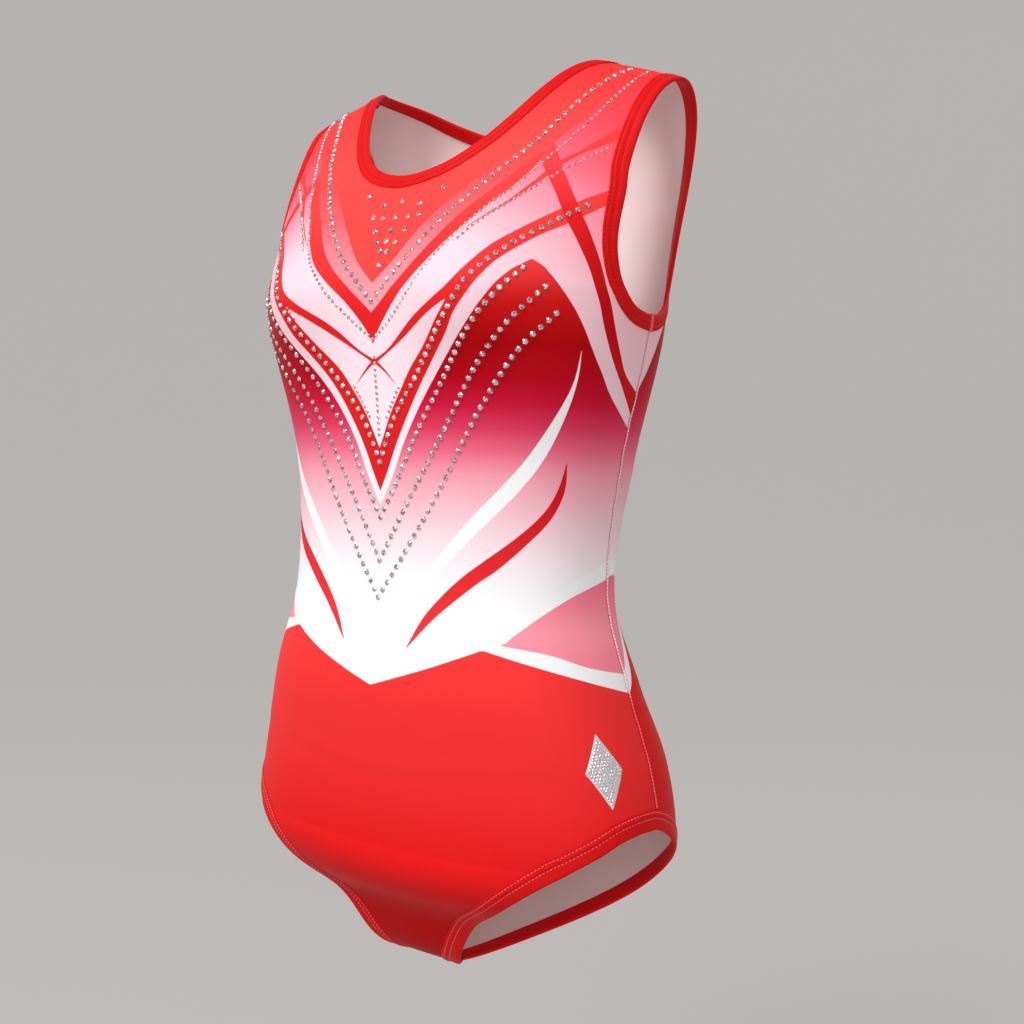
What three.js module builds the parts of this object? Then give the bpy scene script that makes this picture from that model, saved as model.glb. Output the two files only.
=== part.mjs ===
// A sleeveless gymnastics leotard, worn shape, in millimetres.
// +Z is up, the front faces -Y and the wearer's left is +X. The origin lies on the centre line,
// level with the points where the neckline meets the shoulder seams.
//
// The cloth lies on a body form. A place on the form is an angle round the body (0 at the centre
// front, 90 at the left side, 180 at the centre back, negative on the right) and a level measured
// along the cloth from the hip line: negative under the hips, highest at the shoulder seam.
// Every piece is a flat pattern piece in those two measures, laid on the form at its own depth.

import * as THREE from 'three';
import { mergeGeometries, mergeVertices } from 'three/addons/utils/BufferGeometryUtils.js';

// ---- driving dimensions: the body form -----------------------------------------------------
const bodyScale = 1; // overall size of the form
const torsoLength = 345; // hip line to bust line, along the side
const shoulderRise = 153.5; // bust line up to the shoulder seam
const crotchDrop = 89.3; // hip line down to the crotch seam
const shoulderHalfWidth = 174.5;
const girth = 1; // widths and depths of the trunk, relative to the stations below

// Stations up the trunk: share of the torso length, half width, front depth, back depth and how
// far the middle lies behind the centre plane.
const stations = [
  { at: 0, half: 156, front: 88, back: 107, shift: 2 },
  { at: 0.145, half: 148, front: 90, back: 100, shift: 3 },
  { at: 0.29, half: 133, front: 90, back: 77, shift: -1 },
  { at: 0.464, half: 116, front: 82, back: 57, shift: -2 },
  { at: 0.696, half: 120, front: 88, back: 80, shift: 4 },
  { at: 1, half: 142, front: 92, back: 94, shift: 0 },
];
const frontSquareness = 2.47; // exponent of the front half of the trunk's section
const backSquareness = 2.04;
const crotchSquareness = 1.61; // the front section under the hips grows narrower
const bellyTuck = 0.23; // how far the front under the hips draws in
const seatTuck = 0.02;
const chestTuck = 0.109;
const backTuck = -0.04;
const shoulderSlope = 0.0013; // fall of the shoulder with the square of the width
const shoulderLean = 23.6; // the shoulder seam lies this far behind the middle
const crotchLean = -24.7;
const bust = { height: 16.5, across: 68, below: 5, wide: 40.5, tall: 41.5 };

// ---- driving dimensions: the garment --------------------------------------------------------
const clothThick = 0.8;
const bindingWidth = 9.5; // neck and armhole binding, on each face of the cloth
const legHemWidth = 11;
const bindingThick = 0.6;
const gap = 0.6; // clearance between neighbouring layers
const seamGap = 0.25; // each panel stops this far from a seam line
const elasticWidth = 4;
const seamWidth = 7; // overlocked seam allowance inside
const topstitchInset = 5; // edge to the first needle row
const topstitchWidth = 3.6;
const threadThick = 0.5;
const largeStoneRow = 4;
const smallStoneRow = 2.4;
const stoneLift = 0.9; // underside of the stone strips above the cloth
const stoneThick = 0.8;
const stoneStep = 9; // length of one straight stretch of a stone strip

// ---- the body form ---------------------------------------------------------------------------
const torso = torsoLength * bodyScale;
const rise = shoulderRise * bodyScale;
const drop = crotchDrop * bodyScale;
const crotchLevel = (-drop * Math.PI) / 2;
const shoulderLevel = torso + (rise * Math.PI) / 2;
const scaled = (value) => value * bodyScale * girth;

// A smooth curve through the stations, level at both ends.
function trunkValue(name, share) {
  const last = stations.length - 1;
  const slope = (i) =>
    i === 0 || i === last
      ? 0
      : (stations[i + 1][name] - stations[i - 1][name]) / (stations[i + 1].at - stations[i - 1].at);
  const s = THREE.MathUtils.clamp(share, 0, 1);
  let i = 0;
  while (i < last - 1 && s > stations[i + 1].at) i += 1;
  const here = stations[i];
  const next = stations[i + 1];
  const span = next.at - here.at;
  const t = (s - here.at) / span;
  return scaled(
    here[name] * (1 + t * t * (2 * t - 3)) +
      next[name] * t * t * (3 - 2 * t) +
      span * slope(i) * t * (t - 1) * (t - 1) +
      span * slope(i + 1) * t * t * (t - 1),
  );
}

// Width share of a place at an angle on a section with this squareness, and the angle back from it.
const squareness = (front, under) =>
  front ? frontSquareness + (crotchSquareness - frontSquareness) * under ** 0.7 : backSquareness;
function reach(angle, power) {
  const s = Math.abs(Math.sin(angle));
  const c = Math.abs(Math.cos(angle));
  const r = (s ** power + c ** power) ** (-1 / power);
  return { across: r * s, ahead: r * c };
}
const angleOf = (share, power) =>
  THREE.MathUtils.radToDeg(Math.atan2(1, (share ** -power - 1) ** (1 / power)));

// The outer face of the cloth at an angle (degrees) and a level (mm).
function form(angleDegrees, level) {
  const turned = angleDegrees > 180 ? angleDegrees - 360 : angleDegrees;
  const angle = THREE.MathUtils.degToRad(Math.abs(turned));
  const front = Math.abs(turned) <= 90;
  const side = turned < 0 ? -1 : 1;
  const share = level / torso;
  const above = THREE.MathUtils.clamp((level - torso) / rise, 0, Math.PI / 2);
  const below = THREE.MathUtils.clamp(-level / drop, 0, Math.PI / 2);
  const upTuck = 1 - (front ? chestTuck : backTuck) * Math.sin(2 * above) ** 2;
  const downTuck = 1 - (front ? bellyTuck : seatTuck) * Math.sin(2 * below) ** 2;
  const up = Math.sin(above) * upTuck;
  const down = Math.sin(below) * downTuck;
  const section = reach(angle, squareness(front, Math.sin(below)));
  const trunkHalf = trunkValue('half', share);
  const half = trunkHalf + (scaled(shoulderHalfWidth) - trunkHalf) * up ** 1.5;
  const depth = trunkValue(front ? 'front' : 'back', share) * section.ahead;
  const x = half * section.across;
  const top = rise - (shoulderSlope * (x * x - (62 * bodyScale) ** 2)) / bodyScale;
  const onTrunk = THREE.MathUtils.clamp(level, 0, torso);
  const z = onTrunk - torso - rise + top * up - drop * down;
  const close = Math.cos(above) * Math.cos(below) * (above > 0 ? upTuck : downTuck);
  let y = trunkValue('shift', share) + scaled(shoulderLean) * up + scaled(crotchLean) * down;
  y += (front ? -1 : 1) * depth * close;
  if (front) {
    const dz = (z + rise + bust.below * bodyScale) / (bust.tall * bodyScale);
    const left = Math.exp(-(((x - scaled(bust.across)) / scaled(bust.wide)) ** 2) - dz * dz);
    const right = Math.exp(-(((x + scaled(bust.across)) / scaled(bust.wide)) ** 2) - dz * dz);
    y -= scaled(bust.height) * (left + right) * Math.min(1, 1.6 * Math.cos(angle));
  }
  return new THREE.Vector3(x * side, y, z);
}

// The two directions along the cloth, per degree and per mm of level, and the outward normal.
function axes(angle, level) {
  const low = Math.max(level - 0.5, crotchLevel);
  const high = Math.min(level + 0.5, shoulderLevel);
  const round = form(angle + 0.25, level).sub(form(angle - 0.25, level)).multiplyScalar(2);
  const up = form(angle, high).sub(form(angle, low)).divideScalar(high - low);
  return { round, up, out: round.clone().cross(up).normalize() };
}

// A place on the form moved some mm round the body and up it.
function moved(place, round, up) {
  const a = axes(place.x, place.y);
  return new THREE.Vector2(place.x + round / a.round.length(), place.y + up / a.up.length());
}

// A place raised off the cloth's outer face along the normal.
function laid(place, height) {
  return form(place.x, place.y).addScaledVector(axes(place.x, place.y).out, height);
}

// ---- lines on the form -----------------------------------------------------------------------
// Levels at the shoulder, bust and hips keep their distance from those lines in every size.
const spot = (angle, level) => new THREE.Vector2(angle, level);
const fromShoulder = (angle, depth) => spot(angle, shoulderLevel - depth * bodyScale);
const fromBust = (angle, height) => spot(angle, torso + height * bodyScale);
const fromHip = (angle, height) => spot(angle, height * bodyScale);

const neckShoulderAngle = 29.5;
const armShoulderAngle = 52.5;
const crotchAngle = 9;
const neckDepthFront = 161.5;
const neckDepthBack = 116;
const underarm = -13; // against the bust line
const legHeight = 18; // at the side, above the hip line

const shoulderBackAngle = (angle) =>
  180 - angleOf(reach(THREE.MathUtils.degToRad(angle), frontSquareness).across, backSquareness);
const crotchBackAngle = (angle) =>
  180 - angleOf(reach(THREE.MathUtils.degToRad(angle), crotchSquareness).across, backSquareness);

const neckFront = [
  fromShoulder(0, neckDepthFront), fromShoulder(9.3, 0.948 * neckDepthFront),
  fromShoulder(15.7, 0.824 * neckDepthFront), fromShoulder(20.2, 0.65 * neckDepthFront),
  fromShoulder(23.6, 0.446 * neckDepthFront), fromShoulder(26.6, 0.223 * neckDepthFront),
  fromShoulder(neckShoulderAngle, 0),
];
const neckBack = [
  spot(shoulderBackAngle(neckShoulderAngle), shoulderLevel), fromShoulder(149.5, 0.22 * neckDepthBack),
  fromShoulder(152.5, 0.48 * neckDepthBack), fromShoulder(158, 0.74 * neckDepthBack),
  fromShoulder(167, 0.93 * neckDepthBack), fromShoulder(180, neckDepthBack),
];
const armFront = [
  fromShoulder(armShoulderAngle, 0), fromShoulder(51.4, 30), fromShoulder(52.2, 68),
  fromShoulder(54.1, 101), fromShoulder(57.5, 143), fromBust(60.9, 72), fromBust(64.2, 38),
  fromBust(67.4, 19), fromBust(72, 3), fromBust(79, underarm + 4), fromBust(90, underarm),
];
const armBack = [
  fromBust(90, underarm), fromBust(99, underarm + 3), fromBust(107, 0), fromBust(113, 18),
  fromBust(117.5, 45), fromBust(120, 80), fromShoulder(122, 125), fromShoulder(123.4, 85),
  fromShoulder(123.8, 45), spot(shoulderBackAngle(armShoulderAngle), shoulderLevel),
];
const legFront = [
  fromHip(90, legHeight), fromHip(84, legHeight + 1.5), fromHip(76, legHeight + 1.5),
  fromHip(68, legHeight - 1), fromHip(60, 10.5), fromHip(51, 1.5), fromHip(43, -10),
  fromHip(35.5, -26), fromHip(29, -45), fromHip(23.2, -66), fromHip(18.1, -90),
  fromHip(13.5, -115), spot(crotchAngle, crotchLevel),
];
const legBack = [
  spot(crotchBackAngle(crotchAngle), crotchLevel), fromHip(166, -118), fromHip(159, -97),
  fromHip(149, -74), fromHip(137, -50), fromHip(125, -28), fromHip(114, -11), fromHip(105, 2),
  fromHip(97, 12), fromHip(90, legHeight),
];

// Stations along the edges; a ring and the panels inside it share them.
const neckSteps = 9;
const armSteps = 14;
const legSteps = 18;
const sideSteps = Math.round(torsoLength / 31);
const centreSteps = legSteps + sideSteps + armSteps - neckSteps;
const acrossSteps = Math.round((shoulderHalfWidth * girth) / 18);

// A smooth line drawn at about two millimetres to the degree, so that its lengths are true.
const drawn = (line) => new THREE.SplineCurve(line.map((p) => spot(2 * p.x, p.y)));
const onForm = (p) => spot(p.x / 2, p.y);

// Steps along a line, somewhat closer together towards its two ends.
function steps(line, count) {
  const curve = drawn(line);
  const points = [];
  for (let i = 0; i <= count; i += 1) {
    const even = i / count;
    const gathered = (1 - Math.cos(Math.PI * even)) / 2;
    points.push(onForm(curve.getPointAt((even + gathered) / 2)));
  }
  return points;
}

// Even steps of about this length along a line.
function evenSteps(line, length) {
  const curve = drawn(line);
  return curve.getSpacedPoints(Math.max(2, Math.round(curve.getLength() / length))).map(onForm);
}

// An edge station: its place and the step of one millimetre from the edge into the cloth. At a
// seam the step follows the seam line, so that both panels and the ring agree.
function edgeStation(place, before, after, seam) {
  const a = axes(place.x, place.y);
  const run = a.round.clone().multiplyScalar(after.x - before.x);
  run.addScaledVector(a.up, after.y - before.y).normalize();
  const inward = run.clone().cross(a.out).normalize();
  const rr = a.round.dot(a.round);
  const uu = a.up.dot(a.up);
  const ru = a.round.dot(a.up);
  const det = rr * uu - ru * ru;
  let stepRound = (inward.dot(a.round) * uu - inward.dot(a.up) * ru) / det;
  let stepUp = (inward.dot(a.up) * rr - inward.dot(a.round) * ru) / det;
  if (seam === 'level') stepUp = 0;
  if (seam === 'upright') stepRound = 0;
  const size = a.round.clone().multiplyScalar(stepRound).addScaledVector(a.up, stepUp).length();
  return { place, step: spot(stepRound / size, stepUp / size) };
}

// The stations of one front or back line, with the kinds of seam at its two ends.
function edgeLine(line, count, firstSeam, lastSeam) {
  const points = steps(line, count);
  return points.map((place, i) => {
    const before = points[Math.max(0, i - 1)];
    const after = points[Math.min(count, i + 1)];
    const seam = i === 0 ? firstSeam : i === count ? lastSeam : 'none';
    return edgeStation(place, before, after, seam);
  });
}

const edges = {
  neckFront: edgeLine(neckFront, neckSteps, 'upright', 'level'),
  neckBack: edgeLine(neckBack, neckSteps, 'level', 'upright'),
  armFront: edgeLine(armFront, armSteps, 'level', 'upright'),
  armBack: edgeLine(armBack, armSteps, 'upright', 'level'),
  legFront: edgeLine(legFront, legSteps, 'upright', 'level'),
  legBack: edgeLine(legBack, legSteps, 'level', 'upright'),
};

// The place some mm in from the edge at a station.
const inside = (station, distance) => station.place.clone().addScaledVector(station.step, distance);

// ---- solids ----------------------------------------------------------------------------------
// Turn the faces of a closed body outwards.
function faceOut(geometry) {
  const p = geometry.getAttribute('position');
  const index = geometry.getIndex();
  const [a, b, c] = [new THREE.Vector3(), new THREE.Vector3(), new THREE.Vector3()];
  let volume = 0;
  for (let i = 0; i < index.count; i += 3) {
    a.fromBufferAttribute(p, index.getX(i));
    b.fromBufferAttribute(p, index.getX(i + 1));
    c.fromBufferAttribute(p, index.getX(i + 2));
    volume += a.dot(b.cross(c));
  }
  if (volume < 0) {
    geometry.setIndex(Array.from(index.array).reverse());
  }
  geometry.computeVertexNormals();
  return geometry;
}

// A flat pattern piece: a grid of columns by rows whose places come from a function.
function pattern(columns, rows, placeAt) {
  const flat = new THREE.PlaneGeometry(1, 1, columns, rows);
  const uv = flat.getAttribute('uv');
  const position = flat.getAttribute('position');
  for (let i = 0; i < uv.count; i += 1) {
    const place = placeAt(Math.round(uv.getX(i) * columns), Math.round(uv.getY(i) * rows));
    position.setXYZ(i, place.x, place.y, 0);
  }
  flat.deleteAttribute('uv');
  flat.deleteAttribute('normal');
  return flat;
}

// A half piece together with its mirror image, joined along the centre line.
function mirrored(half) {
  const other = half.clone().scale(-1, 1, 1);
  other.setIndex(Array.from(other.getIndex().array).reverse());
  return mergeVertices(mergeGeometries([half, other]), 1e-4);
}

// Lay a pattern piece on the form as a closed sheet between two heights over the cloth's face.
function sheet(flat, low, high) {
  const position = flat.getAttribute('position');
  const triangles = Array.from(flat.getIndex().array);
  const count = position.count;
  const points = new Float32Array(count * 6);
  for (let i = 0; i < count; i += 1) {
    const place = spot(position.getX(i), position.getY(i));
    laid(place, high).toArray(points, 3 * i);
    laid(place, low).toArray(points, 3 * (count + i));
  }
  const open = new Map();
  for (let i = 0; i < triangles.length; i += 3) {
    for (let k = 0; k < 3; k += 1) {
      const from = triangles[i + k];
      const to = triangles[i + ((k + 1) % 3)];
      if (!open.delete(`${to},${from}`)) open.set(`${from},${to}`, [from, to]);
    }
  }
  const faces = [...triangles, ...triangles.map((v) => v + count).reverse()];
  for (const [from, to] of open.values()) {
    faces.push(to, from, from + count, to, from + count, to + count);
  }
  const geometry = new THREE.BufferGeometry();
  geometry.setAttribute('position', new THREE.BufferAttribute(points, 3));
  geometry.setIndex(faces);
  return faceOut(geometry);
}

// A closed ring: a section of (distance from the edge, height) carried through edge stations.
// Each face splits along the same diagonal as the cloth beside it, so that layers stay parallel.
function ring(stationList, section, side) {
  const across = section.length;
  const round = stationList.length;
  const points = new Float32Array(across * round * 3);
  const faces = [];
  for (let i = 0; i < round; i += 1) {
    const next = (i + 1) % round;
    const mirrorStretch = stationList[i].side < 0 || stationList[next].side < 0;
    for (let j = 0; j < across; j += 1) {
      const [distance, height] = section[j];
      const p = laid(inside(stationList[i].station, distance), height);
      p.x *= stationList[i].side * side;
      p.toArray(points, 3 * (i * across + j));
      const beside = (j + 1) % across;
      const corners = [i * across + j, i * across + beside, next * across + beside, next * across + j];
      const rises = section[beside][0] > distance;
      const [a, b, c, d] = corners;
      if (rises !== mirrorStretch) faces.push(a, b, c, a, c, d);
      else faces.push(a, b, d, b, c, d);
    }
  }
  const geometry = new THREE.BufferGeometry();
  geometry.setAttribute('position', new THREE.BufferAttribute(points, 3));
  geometry.setIndex(faces);
  return faceOut(geometry);
}

// Stations right round an armhole, a leg opening or the neck, each seam station once.
const own = (list) => list.map((station) => ({ station, side: 1 })).reverse();
const armRing = own([...edges.armFront.slice(0, -1), ...edges.armBack.slice(0, -1)]);
const legRing = own([...edges.legFront.slice(0, -1), ...edges.legBack.slice(0, -1)]);
const neckHalf = own([...edges.neckFront.slice(0, -1), ...edges.neckBack]);
const neckOther = neckHalf.slice(1, -1).reverse().map((s) => ({ station: s.station, side: -1 }));
const neckRing = [...neckHalf, ...neckOther];

// ---- materials -------------------------------------------------------------------------------
const cloth = (color, roughness = 0.45) =>
  new THREE.MeshStandardMaterial({ color, roughness, metalness: 0 });
const printedCloth = cloth(0xe0252c);
const redCloth = cloth(0xd71a22);
const liningCloth = cloth(0xf2ece8, 0.8);
const elasticRubber = cloth(0xf4f1ea, 0.7);
const thread = cloth(0xe8464c, 0.7);
const paleThread = cloth(0xf3b7b5, 0.7);
const labelSatin = cloth(0xf7f7f5, 0.5);
const stone = new THREE.MeshStandardMaterial({ color: 0xdfe3e6, roughness: 0.1, metalness: 0.4 });

const leotard = new THREE.Group();
function add(name, geometry, material) {
  const mesh = new THREE.Mesh(geometry, material);
  mesh.name = name;
  leotard.add(mesh);
}

// ---- body panels -----------------------------------------------------------------------------
// Rows run from the crotch seam to the shoulder seam. Each goes from the outer edge (leg, side
// seam, armhole) to the centre line or the neckline. Under a binding the cloth stops at the far
// side of the elastic, and a second column stands at the binding's inner edge.
const clothStart = elasticWidth + 1.3;
const cornerStep = 4; // the second column's distance from a seam at a band's end
const clearOfBand = 1.5; // a row of the cloth, and each inner piece, just past the bands

// Rows up the side seam, shared by the panels and the strips that lie along it.
const sideRows = sideSteps - 2;
function sideLevel(row) {
  const low = fromHip(90, legHeight).y + legHemWidth + clearOfBand;
  const high = fromBust(90, underarm).y - bindingWidth - clearOfBand;
  return THREE.MathUtils.lerp(low, high, row / sideRows);
}

function panelRow(row, leg, arm, neck, sideOf) {
  const clear = (place, stepRound) => moved(place, stepRound, 0);
  let outer;
  let second;
  if (row < legSteps || row === legSteps) {
    const station = leg[row];
    outer = inside(station, clothStart);
    second = inside(station, legHemWidth + 0.5);
    if (row === legSteps) second = clear(second, -sideOf * cornerStep);
    if (row === legSteps) outer = clear(outer, -sideOf * seamGap);
  } else if (row < legSteps + sideSteps) {
    outer = clear(spot(90, sideLevel(row - legSteps - 1)), -sideOf * seamGap);
    second = clear(outer, -sideOf * (cornerStep + 1));
  } else {
    const station = arm[row - legSteps - sideSteps];
    outer = inside(station, clothStart);
    second = inside(station, bindingWidth + 0.5);
    if (row === legSteps + sideSteps) second = clear(second, -sideOf * cornerStep);
    if (row === legSteps + sideSteps) outer = clear(outer, -sideOf * seamGap);
  }
  let inner;
  let beforeInner;
  const middle = sideOf > 0 ? 0 : 180;
  if (row >= centreSteps) {
    const station = neck[row - centreSteps];
    inner = inside(station, clothStart);
    beforeInner = inside(station, bindingWidth + 0.5);
    if (row === centreSteps) beforeInner = clear(beforeInner, sideOf * cornerStep);
  } else {
    const bottom = crotchLevel;
    const hip = leg[leg.length - 1].place.y;
    const top = neck[0].place.y - bindingWidth - clearOfBand;
    const bustRow = legSteps + sideSteps;
    let level = THREE.MathUtils.lerp(bottom, hip, row / legSteps);
    if (row > legSteps) {
      level = THREE.MathUtils.lerp(hip, arm[0].place.y, (row - legSteps) / sideSteps);
    }
    if (row > bustRow) {
      const share = (row - bustRow) / (centreSteps - 1 - bustRow);
      level = THREE.MathUtils.lerp(arm[0].place.y, top, share);
    }
    inner = spot(middle, level);
    beforeInner = second.clone().lerp(inner, (acrossSteps - 2) / (acrossSteps - 1));
  }
  return { outer, second, beforeInner, inner };
}

// Keep the ends of a panel clear of the shoulder and crotch seams.
function trimmed(place) {
  const level = THREE.MathUtils.clamp(place.y, crotchLevel + seamGap, shoulderLevel - seamGap);
  return spot(place.x, level);
}

// The front's columns run from the outer edge inwards and the back's outwards, so that the
// diagonals of both run the same way round the edges as those of the bands.
function panelPattern(leg, arm, neck, sideOf) {
  const rows = legSteps + sideSteps + armSteps;
  return pattern(acrossSteps, rows, (at, row) => {
    const column = sideOf > 0 ? at : acrossSteps - at;
    const line = panelRow(row, leg, arm, neck, sideOf);
    if (column === 0) return trimmed(line.outer);
    if (column === acrossSteps) return trimmed(line.inner);
    const share = (column - 1) / (acrossSteps - 2);
    return trimmed(line.second.clone().lerp(line.beforeInner, share));
  });
}

// The back's mirror image joins it at 180 degrees, which is also minus 180.
function joinedAtBack(half) {
  const turned = half.clone().translate(-180, 0, 0);
  return mirrored(turned);
}

function addPanels() {
  const reversed = (list) => [...list].reverse();
  const frontHalf = panelPattern(reversed(edges.legFront), reversed(edges.armFront), edges.neckFront, 1);
  add('front_panel', sheet(mirrored(frontHalf), -clothThick, 0), printedCloth);
  const backHalf = panelPattern(edges.legBack, edges.armBack, reversed(edges.neckBack), -1);
  add('back_panel', sheet(joinedAtBack(backHalf).translate(180, 0, 0), -clothThick, 0), printedCloth);
}
addPanels();

// ---- bindings, hems and their elastics --------------------------------------------------------
// A folded band in a U over the edge, with the elastic strip inside the fold.
function foldedBand(width) {
  const top = gap;
  const under = -clothThick - gap;
  const fold = clothStart;
  return [
    [width, top], [width, top + bindingThick], [fold, top + bindingThick],
    [-bindingThick, top + bindingThick], [-bindingThick, under - bindingThick],
    [fold, under - bindingThick], [width, under - bindingThick], [width, under],
    [fold, under], [0, under], [0, top], [fold, top],
  ];
}
const strip = (from, to, low, high) => [[from, low], [from, high], [to, high], [to, low]];
const elasticStrip = strip(gap, gap + elasticWidth - 0.5, -clothThick, 0);
const stitchBase = gap + bindingThick + 0.4;
const stitchStrip = (from) => strip(from, from + topstitchWidth, stitchBase, stitchBase + threadThick);

function addRing(name, stationList, side, width, stitchAt) {
  add(`${name[0]}_${name[1]}${name[2]}`, ring(stationList, foldedBand(width), side), redCloth);
  add(`${name[0]}_elastic${name[2]}`, ring(stationList, elasticStrip, side), elasticRubber);
  add(`${name[0]}_topstitch${name[2]}`, ring(stationList, stitchStrip(stitchAt), side), thread);
}
addRing(['neck', 'binding', ''], neckRing, 1, bindingWidth, topstitchInset);
for (const [label, side] of [['_left', 1], ['_right', -1]]) {
  addRing(['armhole', 'binding', label], armRing, side, bindingWidth, topstitchInset);
  addRing(['leg', 'hem', label], legRing, side, legHemWidth, topstitchInset + 1.5);
}

// ---- seams inside ------------------------------------------------------------------------------
const seamTop = -clothThick - gap;
const seamThick = 0.6;


function sideSeam(sign) {
  const flat = pattern(2, sideRows, (column, row) =>
    moved(spot(90 * sign, sideLevel(row)), ((column - 1) * seamWidth) / 2, 0));
  return sheet(flat, seamTop - seamThick, seamTop);
}

function sideTopstitch(sign) {
  const flat = pattern(1, sideRows, (column, row) =>
    moved(spot(90 * sign, sideLevel(row)), column - 0.5, 0));
  return sheet(flat, 0.3, 0.7);
}

// A seam over the shoulder or under the crotch joins a front place to the back place beside it.
function bridgeSeam(fromAngle, toAngle, backAngle, level, count, top) {
  const flat = pattern(1, count, (column, row) => {
    const angle = THREE.MathUtils.lerp(fromAngle, toAngle, row / count);
    const size = Math.max(Math.abs(angle), 0.05);
    const sign = angle < 0 ? -1 : 1;
    return column === 0 ? spot(sign * size, level) : spot(sign * backAngle(size), level);
  });
  return sheet(flat, top - seamThick, top);
}

function addSeams() {
  const shoulder = shoulderLevel - seamWidth / 2;
  const neckEnd = moved(spot(neckShoulderAngle, shoulder), bindingWidth + clearOfBand, 0).x;
  const armEnd = moved(spot(armShoulderAngle, shoulder), -bindingWidth - clearOfBand, 0).x;
  for (const [label, sign] of [['_left', 1], ['_right', -1]]) {
    add(`side_seam${label}`, sideSeam(sign), thread);
    add(`side_topstitch${label}`, sideTopstitch(sign), paleThread);
    const seam = bridgeSeam(neckEnd * sign, armEnd * sign, shoulderBackAngle, shoulder, 4, seamTop);
    add(`shoulder_seam${label}`, seam, thread);
  }
  const crotch = crotchLevel + seamWidth / 2;
  const crotchEnd = moved(spot(crotchAngle, crotch), -legHemWidth - clearOfBand, 0).x;
  add('crotch_seam', bridgeSeam(-crotchEnd, crotchEnd, crotchBackAngle, crotch, 4, seamTop - 0.5), thread);
}
addSeams();

// The lining inside the front of the crotch, between the leg hems.
function addLining() {
  const rows = 7;
  const flat = pattern(8, rows, (column, row) => {
    const station = edges.legFront[legSteps - row];
    const edge = inside(station, legHemWidth + clearOfBand);
    const level = Math.max(edge.y, crotchLevel + seamWidth / 2 + clearOfBand);
    return spot((column / 4 - 1) * edge.x, level);
  });
  const top = seamTop - 0.7;
  add('gusset_lining', sheet(flat, top - 0.5, top), liningCloth);
}
addLining();

// A blank care label, sewn inside the left side seam.
function addLabel() {
  const width = 24;
  const height = 42;
  const corner = fromHip(91.5, 150);
  const flat = pattern(2, 3, (column, row) =>
    moved(corner, (column / 2) * width, (row / 3) * height));
  const top = seamTop - seamThick - gap;
  add('care_label', sheet(flat, top - 0.4, top), labelSatin);
}
addLabel();

// ---- stone rows --------------------------------------------------------------------------------
// Each row of stones is a strip along a line on the chest. The lines are places on the form, at
// the size for which the levels are true; other sizes stretch them with the trunk.
const drawnTorso = 345;
const chest = (angle, level) => {
  const share = level / drawnTorso;
  return share <= 1 ? spot(angle, share * torso) : fromBust(angle, level - drawnTorso);
};

function stoneStrip(line, width, mirror) {
  const half = evenSteps(line, stoneStep);
  const points = mirror ? [...half, ...half.slice(0, -1).reverse().map((p) => spot(-p.x, p.y))] : half;
  const last = points.length - 1;
  const flat = pattern(1, last, (column, row) => {
    const before = points[Math.max(0, row - 1)];
    const after = points[Math.min(last, row + 1)];
    const a = axes(points[row].x, points[row].y);
    const roundRun = (after.x - before.x) * a.round.length();
    const upRun = (after.y - before.y) * a.up.length();
    const size = Math.hypot(roundRun, upRun);
    const offset = (column - 0.5) * width;
    return moved(points[row], (-upRun / size) * offset, (roundRun / size) * offset);
  });
  return sheet(flat, stoneLift, stoneLift + stoneThick);
}

const yokeRow = [
  chest(39, 560), chest(36.7, 531), chest(34, 500), chest(31.1, 465), chest(28, 441), chest(22.5, 410),
  chest(17, 387), chest(10.8, 365), chest(5, 350), chest(0, 338),
];
const bandRow = [
  chest(43.4, 563), chest(42.7, 535), chest(41, 500), chest(37.6, 459), chest(32, 415), chest(27.2, 395),
  chest(20.3, 365), chest(12, 340), chest(5, 324), chest(0, 315),
];
const armholeRow = [
  chest(48.4, 458), chest(41.1, 431), chest(34.4, 406), chest(28, 386), chest(24.5, 373),
];
const chevronRow = [
  chest(51.5, 401), chest(45.1, 387), chest(37.5, 370), chest(31.7, 353), chest(26, 331),
  chest(20, 312), chest(12, 287), chest(5.5, 266), chest(0, 240),
];
const leafRows = [
  [chest(41.9, 355), chest(33, 328), chest(24, 297), chest(14, 261), chest(6, 227), chest(0, 206)],
  [chest(47.7, 344), chest(40, 325), chest(30, 293), chest(20, 252), chest(9, 211), chest(0, 179)],
  [chest(50.8, 329), chest(42, 308), chest(32, 272), chest(21, 224), chest(10, 186), chest(0, 156)],
];
const centreRow = [chest(0, 304), chest(0, 280), chest(0, 257)];
const innerRow = [chest(7.8, 286), chest(5.6, 278), chest(3.2, 268)];

function addStones() {
  add('stone_row_yoke', stoneStrip(yokeRow, largeStoneRow, true), stone);
  add('stone_row_band', stoneStrip(bandRow, smallStoneRow, true), stone);
  add('stone_row_chevron', stoneStrip(chevronRow, largeStoneRow, true), stone);
  leafRows.forEach((line, i) => {
    add(`stone_row_leaf_${i + 1}`, stoneStrip(line, largeStoneRow, true), stone);
  });
  add('stone_row_centre', stoneStrip(centreRow, smallStoneRow, false), stone);
  for (const [label, sign] of [['_left', 1], ['_right', -1]]) {
    const onSide = (line) => line.map((p) => spot(p.x * sign, p.y));
    add(`stone_row_armhole${label}`, stoneStrip(onSide(armholeRow), smallStoneRow, false), stone);
    add(`stone_row_inner${label}`, stoneStrip(onSide(innerRow), smallStoneRow, false), stone);
  }
}
addStones();

// The scattered stones of the yoke sit on one clear film, a triangle with its point down.
function addYokeFilm() {
  const top = 411;
  const point = 357;
  const flat = pattern(4, 5, (column, row) => {
    const share = row / 5;
    const half = THREE.MathUtils.lerp(0.8, 11.8, share);
    return chest(1.5 + (column / 2 - 1) * half, THREE.MathUtils.lerp(point, top, share));
  });
  add('stone_film_yoke', sheet(flat, stoneLift, stoneLift + 0.5), stone);
}
addYokeFilm();

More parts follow.
